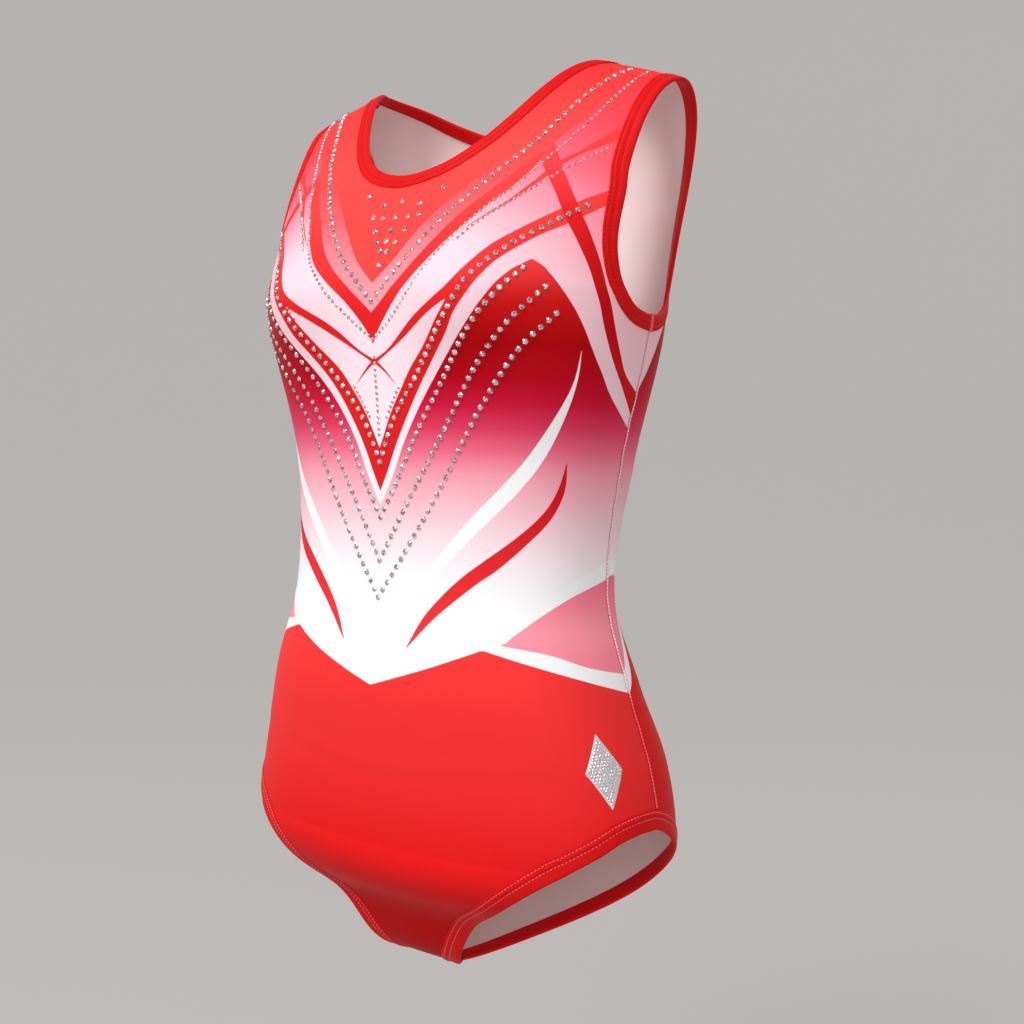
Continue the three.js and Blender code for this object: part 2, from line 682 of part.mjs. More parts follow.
// The motif on the left hip: a plain kite set with stones.
function addMotif() {
  const half = { round: 13, up: 23 };
  const middle = fromHip(66, 59);
  const flat = pattern(4, 6, (column, row) => {
    const rise = (row / 3 - 1) * half.up;
    const wide = half.round * (1 - 0.96 * Math.abs(row / 3 - 1));
    const place = moved(middle, 0, rise);
    return moved(place, (column / 2 - 1) * wide, 0);
  });
  add('hip_motif', sheet(flat, stoneLift, stoneLift + 0.6), stone);
}
addMotif();

export default leotard;
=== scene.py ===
"""A sleeveless gymnastics leotard in its worn shape: printed stretch cloth, bound edges and rows of stones.

Everything lies on a body form. A place on it is an angle in degrees (0 centre front, 90 the wearer's
left side, 180 centre back, negative on the right) and a level in millimetres along the cloth, from
the hip line. Pieces are grids in those two measures, raised along the cloth's outward normal.
"""

import math

import bpy
import numpy as np
from mathutils import Matrix, Vector


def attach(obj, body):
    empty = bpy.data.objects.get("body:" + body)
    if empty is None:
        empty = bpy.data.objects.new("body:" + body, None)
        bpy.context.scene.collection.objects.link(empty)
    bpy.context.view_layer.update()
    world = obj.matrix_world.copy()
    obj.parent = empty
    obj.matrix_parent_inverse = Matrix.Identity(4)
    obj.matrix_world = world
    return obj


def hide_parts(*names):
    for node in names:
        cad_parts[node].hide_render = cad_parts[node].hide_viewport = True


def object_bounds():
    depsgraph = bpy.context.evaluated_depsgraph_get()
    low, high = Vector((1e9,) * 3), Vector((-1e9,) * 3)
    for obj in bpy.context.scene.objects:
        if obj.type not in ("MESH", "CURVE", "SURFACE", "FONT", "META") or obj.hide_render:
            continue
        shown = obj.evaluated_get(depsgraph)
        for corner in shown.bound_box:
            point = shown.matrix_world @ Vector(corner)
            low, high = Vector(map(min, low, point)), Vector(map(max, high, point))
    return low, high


bl_info = {
    "name": "Gymnastics Leotard",
    "version": (1, 0, 0),
    "blender": (4, 5, 0),
    "location": "View3D > Sidebar > Leotard",
    "description": "Builds a printed, stone-set leotard on its packed CAD frame",
    "category": "Mesh",
}

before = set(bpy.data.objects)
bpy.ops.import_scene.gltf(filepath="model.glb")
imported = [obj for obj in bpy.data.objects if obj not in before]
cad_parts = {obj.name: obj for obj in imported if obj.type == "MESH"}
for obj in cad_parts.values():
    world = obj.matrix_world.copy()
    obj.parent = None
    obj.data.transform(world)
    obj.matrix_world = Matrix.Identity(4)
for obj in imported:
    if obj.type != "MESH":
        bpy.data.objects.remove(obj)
CAD_LOW, CAD_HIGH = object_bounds()
DRAWN_HEIGHT = 585.6  # the height, in mm, at which the form below was drawn
UNIT = (CAD_HIGH.z - CAD_LOW.z) / DRAWN_HEIGHT  # metres to one drawn millimetre


def tone(red, green, blue):
    """A screen colour, 0 to 255, as the linear colour that the shaders use."""
    c = np.array([red, green, blue]) / 255
    return tuple(np.where(c < 0.04045, c / 12.92, ((c + 0.055) / 1.055) ** 2.4))


# ---- the body form ------------------------------------------------------------------------------
TORSO, RISE, DROP, SHOULDER_HALF = 345.0, 153.5, 89.3, 174.5
CROTCH = -DROP * math.pi / 2
SHOULDER = TORSO + RISE * math.pi / 2
STATION_AT = np.array([0, 0.145, 0.29, 0.464, 0.696, 1])
STATION = {
    "half": np.array([156, 148, 133, 116, 120, 142.0]),
    "front": np.array([88, 90, 90, 82, 88, 92.0]),
    "back": np.array([107, 100, 77, 57, 80, 94.0]),
    "shift": np.array([2, 3, -1, -2, 4, 0.0]),
}
FRONT_POWER, BACK_POWER, CROTCH_POWER = 2.47, 2.04, 1.61


def station_value(name, share):
    """The trunk's smooth curve through its stations: cubic between two, level at both ends."""
    v, at = STATION[name], STATION_AT
    slope = np.zeros(len(at))
    slope[1:-1] = (v[2:] - v[:-2]) / (at[2:] - at[:-2])
    s = np.clip(share, 0, 1)
    i = np.clip(np.searchsorted(at, s, side="left") - 1, 0, len(at) - 2)
    span = at[i + 1] - at[i]
    t = (s - at[i]) / span
    return (
        v[i] * (1 + t * t * (2 * t - 3))
        + v[i + 1] * t * t * (3 - 2 * t)
        + span * slope[i] * t * (t - 1) ** 2
        + span * slope[i + 1] * t * t * (t - 1)
    )


def reach(angle, power):
    """How far across and ahead a superellipse of this power and of radius one reaches at an angle."""
    s, c = np.abs(np.sin(angle)), np.abs(np.cos(angle))
    r = (s**power + c**power) ** (-1 / power)
    return r * s, r * c


def back_angle(angle, front_power):
    """The angle on the back section that is as far across as this angle on the front section."""
    share, _ = reach(np.radians(np.maximum(np.abs(angle), 1e-4)), front_power)
    return 180 - np.degrees(np.arctan2(1, (share**-BACK_POWER - 1) ** (1 / BACK_POWER)))


def form(angle, level):
    """The outer face of the cloth, in mm: a squared section whose width and depth follow the stations
    and close along quarter arcs to the shoulder and the crotch, with two soft bumps for the bust."""
    angle, level = np.broadcast_arrays(np.asarray(angle, float), np.asarray(level, float))
    turned = np.where(angle > 180, angle - 360, angle)
    front = np.abs(turned) <= 90
    side = np.where(turned < 0, -1.0, 1.0)
    a = np.radians(np.abs(turned))
    above = np.clip((level - TORSO) / RISE, 0, math.pi / 2)
    below = np.clip(-level / DROP, 0, math.pi / 2)
    up_tuck = 1 - np.where(front, 0.109, -0.04) * np.sin(2 * above) ** 2
    down_tuck = 1 - np.where(front, 0.23, 0.02) * np.sin(2 * below) ** 2
    up, down = np.sin(above) * up_tuck, np.sin(below) * down_tuck
    thinned = ((np.sin(below) ** 2 + 0.06**2) ** 0.35 - 0.06**0.7) / ((1 + 0.06**2) ** 0.35 - 0.06**0.7)
    power = np.where(front, FRONT_POWER + (CROTCH_POWER - FRONT_POWER) * thinned, BACK_POWER)
    across, ahead = reach(a, power)
    share = level / TORSO
    trunk = station_value("half", share)
    x = (trunk + (SHOULDER_HALF - trunk) * np.maximum(up, 0) ** 1.5) * across
    depth = np.where(front, station_value("front", share), station_value("back", share)) * ahead
    top = RISE - 0.0013 * (x * x - 62**2)
    z = np.clip(level, 0, TORSO) - TORSO - RISE + top * up - DROP * down
    close = np.cos(above) * np.cos(below) * np.where(above > 0, up_tuck, down_tuck)
    y = station_value("shift", share) + 23.6 * up - 24.7 * down + np.where(front, -1, 1) * depth * close
    dz = (z + RISE + 5) / 41.5
    bust = np.exp(-(((x - 68) / 40.5) ** 2) - dz * dz) + np.exp(-(((x + 68) / 40.5) ** 2) - dz * dz)
    y = y - np.where(front, 16.5 * bust * np.minimum(1, 1.6 * np.cos(a)), 0)
    return np.stack([x * side, y, z], -1)


def ease(angle, level):
    """How far the cloth stands off the form, in mm: a faint crease over the belly, slight fullness along the
    side seams and ripples over the seat at the back, the sum of a few narrow waves."""
    a = np.abs(np.where(angle > 180, angle - 360, angle))
    belly = 50 + 15 * np.sin(np.radians(np.clip(a, 0, 80)))
    crease = 0.45 * np.exp(-(((level - belly) / 2.6) ** 2)) * np.exp(-((a / 62) ** 4))
    crease -= 0.3 * np.exp(-(((level - belly + 6) / 4) ** 2)) * np.exp(-((a / 62) ** 4))
    seam = np.exp(-(((a - 90) / 7) ** 2)) * np.clip((level - 40) / 30, 0, 1) * np.clip((318 - level) / 30, 0, 1)
    pucker = 0.16 * np.sin(level / 2.9 + 0.9 * np.sin(level / 17)) * seam
    seat = 0.5 * np.exp(-(((a - 180) / 14) ** 2)) * np.sin(level / 11) * np.exp(-(((level + 20) / 70) ** 2))
    return crease + pucker + seat


def axes(angle, level):
    """The directions per degree round and per mm up the cloth, and the outward normal."""
    low, high = np.maximum(level - 0.5, CROTCH), np.minimum(level + 0.5, SHOULDER)
    around = (form(angle + 0.25, level) - form(angle - 0.25, level)) * 2
    up = (form(angle, high) - form(angle, low)) / (high - low)[..., None]
    out = np.cross(around, up)
    return around, up, out / np.linalg.norm(out, axis=-1, keepdims=True)


def laid(angle, level, height):
    """Places raised off the cloth's outer face by a height in mm, in metres."""
    angle, level, height = np.broadcast_arrays(angle, level, np.asarray(height, float))
    out = axes(angle, level)[2]
    return (form(angle, level) + out * (height + ease(angle, level))[..., None]) * UNIT


def moved(angle, level, around, up):
    """A place moved some mm round the body and up it."""
    a, u, _ = axes(angle, level)
    return angle + around / np.linalg.norm(a, axis=-1), level + up / np.linalg.norm(u, axis=-1)


# ---- lines on the form ----------------------------------------------------------------------------
NECK_SHOULDER, ARM_SHOULDER, CROTCH_ANGLE = 29.5, 52.5, 9.0
NECK_FRONT = [
    (0, 424.6), (9.3, 433), (15.7, 453), (20.2, 481.1), (23.6, 514.1), (26.6, 550.1), (29.5, SHOULDER),
]
NECK_BACK = [
    (float(back_angle(NECK_SHOULDER, FRONT_POWER)), SHOULDER), (149.5, 560.6), (152.5, 530.4),
    (158, 500.3), (167, 478.2), (180, 470.1),
]
ARM_FRONT = [
    (52.5, SHOULDER), (51.4, 556.1), (52.2, 518.1), (54.1, 485.1), (57.5, 443.1), (60.9, 417),
    (64.2, 383), (67.4, 364), (72, 348), (79, 336), (90, 332),
]
ARM_BACK = [
    (90, 332), (99, 335), (107, 345), (113, 363), (117.5, 390), (120, 425), (122, 461.1), (123.4, 501.1),
    (123.8, 541.1), (float(back_angle(ARM_SHOULDER, FRONT_POWER)), SHOULDER),
]
LEG_FRONT = [
    (90, 18), (84, 19.5), (76, 19.5), (68, 17), (60, 10.5), (51, 1.5), (43, -10), (35.5, -26), (29, -45),
    (23.2, -66), (18.1, -90), (13.5, -115), (CROTCH_ANGLE, CROTCH),
]
LEG_BACK = [
    (float(back_angle(CROTCH_ANGLE, CROTCH_POWER)), CROTCH), (166, -118), (159, -97), (149, -74),
    (137, -50), (125, -28), (114, -11), (105, 2), (97, 12), (90, 18),
]


def run_along(points):
    """How far along a line of points each of them lies, from nought at the first."""
    return np.concatenate([[0], np.cumsum(np.linalg.norm(np.diff(points, axis=0), axis=1))])


def smooth_line(points, count, before=None, after=None):
    """Count + 1 even places along a uniform Catmull-Rom spline through places on the form. The places
    before and after, where the line goes on, keep its ends smooth."""
    p = np.array(points, float) * [2, 1]
    head = 2 * p[0] - p[1] if before is None else np.array(before) * [2, 1]
    tail = 2 * p[-1] - p[-2] if after is None else np.array(after) * [2, 1]
    p = np.concatenate([[head], p, [tail]])
    t = np.linspace(0, len(p) - 3 - 1e-9, 40 * len(p))
    i, u = t.astype(int), (t % 1)[:, None]
    a, b, c, d = p[i], p[i + 1], p[i + 2], p[i + 3]
    fine = 0.5 * (2 * b + (c - a) * u + (2 * a - 5 * b + 4 * c - d) * u**2 + (3 * b - a - 3 * c + d) * u**3)
    run = run_along(fine)
    at = np.linspace(0, run[-1], count + 1)
    return np.stack([np.interp(at, run, fine[:, 0]) / 2, np.interp(at, run, fine[:, 1])], 1)


def real_length(places):
    """The length in mm of a line of places, as it lies on the form."""
    return np.linalg.norm(np.diff(form(places[:, 0], places[:, 1]), axis=0), axis=1).sum()


def edge_steps(points, count, first, last, before=None, after=None):
    """Places along an edge, and the step of one mm from the edge into the cloth: square to the edge in
    the cloth, turning over a short way to follow the seam at either end."""
    places = smooth_line(points, count, before, after)
    around, up, out = axes(places[:, 0], places[:, 1])
    run = np.gradient(places, axis=0)
    ahead = around * run[:, :1] + up * run[:, 1:]
    inward = np.cross(ahead / np.linalg.norm(ahead, axis=1, keepdims=True), out)
    rr, uu, ru = (around**2).sum(1), (up**2).sum(1), (around * up).sum(1)
    ir, iu = (inward * around).sum(1), (inward * up).sum(1)
    det = rr * uu - ru * ru
    step = np.stack([(ir * uu - iu * ru) / det, (iu * rr - ir * ru) / det], 1)
    length = np.linspace(0, real_length(places), count + 1)
    window = np.hanning(15)[1:-1] / np.hanning(15).sum()
    step = np.stack([np.convolve(np.pad(v, 6, "edge"), window, "valid") for v in step.T], 1)
    for seam, far in ((first, length), (last, length[-1] - length)):
        keep = np.clip(far / 16, 0, 1)
        keep = keep * keep * (3 - 2 * keep)
        step[:, 1 if seam == "level" else 0] *= keep
    size = np.linalg.norm(around * step[:, :1] + up * step[:, 1:], axis=1, keepdims=True)
    return places, step / size


EDGES = {
    "neck_front": edge_steps(NECK_FRONT, 110, "upright", "level", before=(-9.3, 433)),
    "neck_back": edge_steps(NECK_BACK, 80, "level", "upright", after=(193, 478.2)),
    "arm_front": edge_steps(ARM_FRONT, 120, "level", "upright", after=(101, 335)),
    "arm_back": edge_steps(ARM_BACK, 120, "upright", "level", before=(79, 336)),
    "leg_front": edge_steps(LEG_FRONT, 150, "upright", "level", before=(97, 12)),
    "leg_back": edge_steps(LEG_BACK, 150, "level", "upright", after=(84, 19.5)),
}


def closed_edge(kind):
    """The places and steps right round a neckline, an armhole or a leg opening, on the wearer's left."""
    (pf, sf), (pb, sb) = EDGES[kind + "_front"], EDGES[kind + "_back"]
    if kind != "neck":
        return np.concatenate([pf[:-1], pb[:-1]]), np.concatenate([sf[:-1], sb[:-1]])
    half_p, half_s = np.concatenate([pf[:-1], pb]), np.concatenate([sf[:-1], sb])
    return np.concatenate([
        half_p, half_p[-2:0:-1] * [-1, 1],
    ]), np.concatenate([half_s, half_s[-2:0:-1] * [-1, 1]])


# ---- meshes ---------------------------------------------------------------------------------------
def new_piece(
    name, points, faces, replaces=(), materials=(), face_material=None, smooth=True, uv=None, fields=None,
    face_fields=None,
):
    """A mesh object from arrays of points (m) and of quads or triangles, riding on the leotard. A uv
    array has one pair for each point, fields are floats for each point and face fields for each face."""
    mesh = bpy.data.meshes.new(name)
    faces = [np.asarray(f) for f in (faces if isinstance(faces, list) else [faces])]
    loops = np.concatenate([f.ravel() for f in faces]).astype(np.int32)
    totals = np.concatenate([np.full(len(f), f.shape[1]) for f in faces]).astype(np.int32)
    mesh.vertices.add(len(points))
    mesh.vertices.foreach_set("co", np.asarray(points, np.float32).ravel())
    mesh.loops.add(len(loops))
    mesh.loops.foreach_set("vertex_index", loops)
    mesh.polygons.add(len(totals))
    mesh.polygons.foreach_set("loop_start", np.concatenate([[0], np.cumsum(totals)[:-1]]).astype(np.int32))
    mesh.polygons.foreach_set("loop_total", totals)
    mesh.update(calc_edges=True)
    mesh.polygons.foreach_set("use_smooth", np.full(len(totals), smooth))
    if uv is not None:
        layer = mesh.uv_layers.new(name="pattern")
        layer.data.foreach_set("uv", np.asarray(uv, np.float32)[loops].ravel())
    for domain, group_of in (("POINT", fields), ("FACE", face_fields)):
        for key, values in (group_of or {}).items():
            attribute = mesh.attributes.new(key, "FLOAT", domain)
            attribute.data.foreach_set("value", np.asarray(values, np.float32).ravel())
    for material in materials:
        mesh.materials.append(material)
    if face_material is not None:
        mesh.polygons.foreach_set("material_index", np.asarray(face_material, np.int32))
    if mesh.validate():
        raise RuntimeError(f"{name} has faulty faces")
    piece = bpy.data.objects.new(name, mesh)
    bpy.context.scene.collection.objects.link(piece)
    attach(piece, "root")
    if replaces:
        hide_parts(*replaces)
    return piece


def grid_faces(rows, columns, close_rows=False, close_columns=False):
    """Quads of a grid of points, rows by columns, with either way joined up if asked."""
    i = np.arange(rows if close_rows else rows - 1)[:, None]
    j = np.arange(columns if close_columns else columns - 1)[None, :]
    a, b = i * columns + j, i * columns + (j + 1) % columns
    c, d = ((i + 1) % rows) * columns + (j + 1) % columns, ((i + 1) % rows) * columns + j
    return np.stack([a, b, c, d], -1).reshape(-1, 4)


def facing_out(points, faces):
    """The faces of a closed body, turned round if its signed volume is negative."""
    p = np.asarray(points)[faces]
    volume = np.einsum("ij,ij->i", p[:, 0], np.cross(p[:, 1], p[:, 2])).sum()
    if faces.shape[1] == 4:
        volume += np.einsum("ij,ij->i", p[:, 0], np.cross(p[:, 2], p[:, 3])).sum()
    return faces[:, ::-1] if volume < 0 else faces


def shell(outer, inner, faces):
    """A closed sheet: an outer face, an inner face the other way round, and a rim of quads along each
    edge that only one face uses. Returns points, faces, and 0, 1 or 2 for outer, inner and rim."""
    count = len(outer)
    a, b = faces, np.roll(faces, -1, axis=1)
    edge = np.stack([a.ravel(), b.ravel()], 1)
    key = np.sort(edge, axis=1) @ [count, 1]
    _, where, uses = np.unique(key, return_index=True, return_counts=True)
    rim = edge[where[uses == 1]]
    rims = np.stack([rim[:, 1], rim[:, 0], rim[:, 0] + count, rim[:, 1] + count], 1)
    points = np.concatenate([outer, inner])
    quads = np.concatenate([faces, faces[:, ::-1] + count, rims])
    part = np.concatenate([np.zeros(len(faces)), np.ones(len(faces)), np.full(len(rims), 2)]).astype(int)
    return points, facing_out(points, quads), part


def grid_shell(outer, inner):
    """The points and faces of a closed sheet between two grids of points."""
    points, faces, _ = shell(outer.reshape(-1, 3), inner.reshape(-1, 3), grid_faces(*outer.shape[:2]))
    return points, faces


def capped_tube(rings):
    """A closed tube through rings of points, one ring to a row, with a fan over either end."""
    rows, columns = rings.shape[:2]
    points = rings.reshape(-1, 3)
    quads = grid_faces(rows, columns, close_columns=True)
    fan = np.stack([np.zeros(columns - 2), np.arange(1, columns - 1), np.arange(2, columns)], 1).astype(int)
    caps = np.concatenate([fan[:, ::-1], fan + (rows - 1) * columns])
    if (facing_out(points, quads) != quads).any():
        quads, caps = quads[:, ::-1], caps[:, ::-1]
    return points, [quads, caps]


def along(frames_at, template, scale=(1, 1, 1)):
    """Copies of a small template (points, faces) at frames: origins and three axes, whole arrays."""
    origin, axis_x, axis_y, axis_z = frames_at
    points, faces = template
    p = points * scale
    world = (
        origin[:, None]
        + axis_x[:, None] * p[None, :, 0:1]
        + axis_y[:, None] * p[None, :, 1:2]
        + axis_z[:, None] * p[None, :, 2:3]
    )
    shift = (np.arange(len(origin)) * len(points))[:, None, None]
    return world.reshape(-1, 3), [(f[None] + shift).reshape(-1, f.shape[1]) for f in faces]


def stitch_shape(sides=6):
    """One stitch of length 2 and half thickness 1: four hoops whose radii swell and close, two caps."""
    turn = np.arange(sides) * 2 * math.pi / sides
    at, wide = np.array([-1, -0.7, 0.7, 1]), np.array([0.35, 1, 1, 0.35])
    drop = np.array([-0.9, 0, 0, -0.9])
    x = np.repeat(at, sides)
    y = (wide[:, None] * np.cos(turn)).ravel()
    z = (wide[:, None] * np.sin(turn) + drop[:, None]).ravel()
    quads = grid_faces(4, sides, close_columns=True)
    low = np.stack([np.zeros(sides - 2), np.arange(2, sides), np.arange(1, sides - 1)], 1).astype(int)
    caps = np.concatenate([low, low[:, ::-1] + 3 * sides])
    return np.stack([x, y, z], 1), [quads, caps]


def stone_shape():
    """One flat-backed cut stone of radius 1: an eight-sided table, a crown of eight kites and eight
    triangles, and a girdle, as hoops of eight points of which the middle one is turned half a step."""
    turn = np.arange(8) * math.pi / 4
    half = turn + math.pi / 8
    hoop = lambda r, t, z: np.stack([r * np.cos(t), r * np.sin(t), np.full(8, z)], 1)
    points = np.concatenate([
        hoop(0.94, turn, 0.0), hoop(1.0, turn, 0.12), hoop(0.8, half, 0.42), hoop(0.5, turn, 0.62),
    ])
    i = np.arange(8)
    n = (i + 1) % 8
    girdle = np.stack([i, n, n + 8, i + 8], 1)
    lower = np.stack([i + 8, n + 8, i + 16], 1)
    kites = np.stack([n + 8, n + 16, n + 24, i + 16], 1)
    upper = np.stack([i + 16, n + 24, i + 24], 1)
    fan = np.stack([np.full(6, 24), np.arange(25, 31), np.arange(26, 32)], 1)
    base = np.stack([np.zeros(6, int), np.arange(2, 8), np.arange(1, 7)], 1)
    return points, [np.concatenate([girdle, kites]), np.concatenate([lower, upper, fan, base])]


def frames_on(angle, level, run_angle, run_level, height):
    """Origins in metres and axes (along the run, across it, outwards), one mm long, at places."""
    around, up, out = axes(angle, level)
    ahead = around * run_angle[:, None] + up * run_level[:, None]
    ahead /= np.linalg.norm(ahead, axis=1, keepdims=True)
    return laid(angle, level, height), ahead * UNIT, np.cross(out, ahead) * UNIT, out * UNIT


# ---- the print ------------------------------------------------------------------------------------
# Outlines of the printed shapes on the left half, as (angle, level). The right half mirrors them.
YOKE_LINE = [
    (0, 348.5), (6.2, 363), (11.5, 382), (15.9, 398), (20.1, 414), (23.8, 431), (27.3, 450), (30.4, 472),
    (33, 497), (34.7, 515), (36, 535), (37.4, 560), (38.5, 590),
]
STRIPE_LINE = [
    (0, 331), (6.5, 345), (12.4, 358), (16.8, 371), (20.1, 384), (23.1, 396), (26.8, 411), (30.3, 428),
    (33.2, 446), (36, 466), (38.6, 490), (40.5, 515), (41.6, 540), (42.6, 565), (43.4, 590),
]
BAND_LINE = [
    (0, 312), (2.8, 323), (8.5, 339), (13.6, 350), (18.5, 362), (24.2, 382), (27.8, 397), (30.9, 411),
    (33.2, 427), (34.6, 446),
]
CHEVRON_TOP = [
    (0, 302.6), (5, 309), (10.6, 320), (14.6, 327), (21.3, 336.5), (25.7, 344), (28.6, 353), (31.4, 363),
    (33.7, 370.5), (37.7, 380), (42.2, 390), (47, 400), (55, 415), (62, 427),
]
CHEVRON_UNDER = [
    (0, 222), (3, 235), (6, 250), (10.4, 269), (15, 287), (19.7, 302), (24.8, 317), (27.4, 328),
    (30.6, 339), (33.4, 350), (35.7, 359), (39.6, 369), (43.9, 378), (49, 386.5), (57.1, 403), (64, 416),
]
DIAMOND = [
    (-3, 295.5), (0, 299.8), (4, 305.4), (9.6, 313.4), (18.7, 327), (26.3, 337), (18.3, 313), (12.2, 297.5),
    (8.3, 284), (4.5, 270), (0, 249), (-3, 241),
]
TAIL = [(0, 302), (3.5, 295.5), (7.4, 286.5)]
THIN_BAND = [
    (23.6, 375.5), (29.1, 391), (32.3, 400.5), (35.8, 416), (37.5, 426), (39.2, 436.5), (44.1, 455),
    (50.5, 477.5), (56, 493),
]
THIN_HALF = [(0, 0.1), (0.3, 1.2), (0.5, 2.0), (0.62, 1.4), (0.8, 4.2), (1, 8)]
CROSS_LEFT = [
    (33.4, 440.5), (36.7, 427.5), (41.8, 409.3), (47.1, 390.5), (53, 373.3), (58.9, 354.8), (62.8, 337.5),
    (66.1, 320.5),
    (72.1, 302.2), (81.2, 284.8), (90.5, 270),
]
CROSS_RIGHT = [
    (34.6, 458), (36.8, 448), (39.4, 436), (44.7, 415.5), (50.3, 396.5), (56, 379), (62.1, 359), (66.9, 338.5),
    (70.3, 322), (74.5, 308), (80, 295.5), (90.5, 284.5),
]
LEAF = [
    (0, 213), (4.7, 231), (8.5, 250), (13, 269), (17.2, 284), (21.8, 298), (26.2, 310.5), (30.3, 323),
    (33.9, 335.5), (36.9, 346), (39.5, 354), (43.2, 360.8), (46.4, 356.5), (49.8, 348.5), (53, 339.5),
    (56.2, 330),
    (59.3, 320), (62.7, 309), (67.2, 297.5), (75.2, 281), (90.5, 262.5), (99, 254),
]
WHITE_DROP = [
    (59, 309), (58.3, 292), (56.2, 279), (52, 262), (46.4, 243.5), (39.7, 227), (34.1, 214.5), (28.4, 201),
    (20.7, 182), (14, 166), (10, 150), (13, 152), (19.2, 168), (25.6, 182), (33, 198.5), (40.1, 213.5),
    (45.7, 226), (51.2, 241), (55, 256), (58.1, 276), (59.3, 293),
]
RED_DROP = [
    (60.5, 244), (58.8, 229), (56, 217), (51.5, 206.5), (43.9, 194), (35, 181), (28.9, 171.5), (22.6, 159.5),
    (16.5, 145), (11.3, 126), (20.1, 145.5), (27.4, 158.5), (35.1, 171), (41.1, 179.5), (50.2, 195.5),
    (56.6, 208),
    (59.9, 218.5), (61.2, 229),
]
WAIST_TOP = [(22, 118), (35.4, 137), (41, 145.5), (47.5, 153), (58.2, 162.5), (71.6, 172), (90, 181.5)]
WAIST_KITE_TOP = [(40.6, 133.6), (54.1, 150), (69.1, 162), (91, 170.5)]
WAIST_KITE_UNDER = [(40.6, 133.6), (55.9, 128), (70.9, 119), (92.4, 111)]
BRIEFS_MIDDLE = [(0, 102), (10, 109.8), (19.7, 117.5), (28.7, 125), (35.2, 130.3), (42, 136)]
BRIEFS_SIDE = [(29, 133.5), (35.2, 130.3), (46, 124), (58.1, 117), (73.6, 108.5), (91, 100)]
# The back has its own yoke, one chevron and a large leaf, and shares the waist of the front.
BACK_YOKE = [(0, 398), (8, 412), (16, 430), (24, 450), (32, 474), (38, 500), (42, 530), (44, 560), (45, 590)]
BACK_WAIST_TOP = [(0, 120), (12, 134), (30, 155), (50, 170), (67, 178), (80, 181), (90, 181.5)]
BACK_WAIST_KITE = [(92, 171), (80, 171.5), (71.5, 168), (76, 151), (80.5, 134), (85, 120), (92, 108.5)]
BACK_BRIEFS_PEAK = [(0, 104), (14, 117), (32, 138), (50, 154), (67, 165.5)]
BACK_BRIEFS_SIDE = [(67, 165.5), (71.5, 151), (76, 134), (81, 115), (85.5, 105), (92, 97.5)]
BACK_LEAF = [
    (0, 226), (6, 244), (14, 268), (24, 293), (34, 314), (44, 331), (53, 343), (60, 349), (66, 346), (72, 336),
    (79, 320), (84, 304), (90, 285), (95, 272),
]


def dense(points, count=160, corners=()):
    """A drawn outline as a fine polyline in flat mm, two to the degree: smooth between its corners."""
    cuts = sorted({0, len(points) - 1, *corners})
    runs = [
        smooth_line(points[a : b + 1], max(4, count * (b - a) // len(points))) for a, b in zip(cuts, cuts[1:])
    ]
    line = np.concatenate([r[:-1] for r in runs] + [runs[-1][-1:]])
    return line * [2, 1]


def nearest(x, y, line):
    """Distance to a polyline, the signed side (positive on its left) and how far along it, 0 to 1."""
    a, b = line[:-1], line[1:]
    run = b - a
    size = (run**2).sum(1)
    best = np.full(x.shape, 1e9)
    side, share = np.zeros(x.shape), np.zeros(x.shape)
    length = np.concatenate([[0], np.cumsum(np.sqrt(size))])
    for k in range(len(a)):
        px, py = x - a[k, 0], y - a[k, 1]
        t = np.clip((px * run[k, 0] + py * run[k, 1]) / size[k], 0, 1)
        dx, dy = px - t * run[k, 0], py - t * run[k, 1]
        d = np.hypot(dx, dy)
        closer = d < best
        best = np.where(closer, d, best)
        side = np.where(closer, run[k, 0] * py - run[k, 1] * px, side)
        share = np.where(closer, (length[k] + t * np.sqrt(size[k])) / length[-1], share)
    return best, np.sign(side), share


def over_line(x, y, points):
    """Signed distance in mm from a drawn line, positive above it."""
    line = dense(points)
    line = np.concatenate([
        [line[0] - (line[1] - line[0]) * 60], line, [line[-1] + (line[-1] - line[-2]) * 200],
    ])
    distance, side, _ = nearest(x, y, line)
    return distance * side


def within(x, y, points, corners=()):
    """Signed distance in mm from a closed outline, positive inside it."""
    line = dense(list(points) + [points[0]], 200, corners)
    distance, _, _ = nearest(x, y, line)
    a, b = line[:-1], line[1:]
    crossings = np.zeros(x.shape, int)
    for (ax, ay), (bx, by) in zip(a, b):
        if ay != by:
            hit = ((ay > y) != (by > y)) & (x < (bx - ax) * (y - ay) / (by - ay) + ax)
            crossings += hit
    return np.where(crossings % 2 == 1, distance, -distance)


def stroke(x, y, points, halves):
    """Signed distance across a drawn stroke and its half width there, both smooth over the cloth."""
    distance, side, share = nearest(x, y, dense(points))
    at, wide = zip(*halves)
    return distance * side, np.interp(share, at, wide)


def drop(x, y, points, tip):
    """A drop drawn as an outline from its head round its tip and back: the signed distance from its
    middle line, and its half width there, which falls below nought past either end."""
    left = dense(points[: tip + 1])
    right = dense((list(points[tip:]) + [points[0]])[::-1])
    left, right = resampled(left, 160), resampled(right, 160)
    middle, half = (left + right) / 2, np.linalg.norm(left - right, axis=1) / 2
    distance, side, share = nearest(x, y, middle)
    past = (share < 1e-6) | (share > 1 - 1e-6)
    run = run_along(middle)
    return distance * side, np.where(past, -distance, np.interp(share, run / run[-1], half))


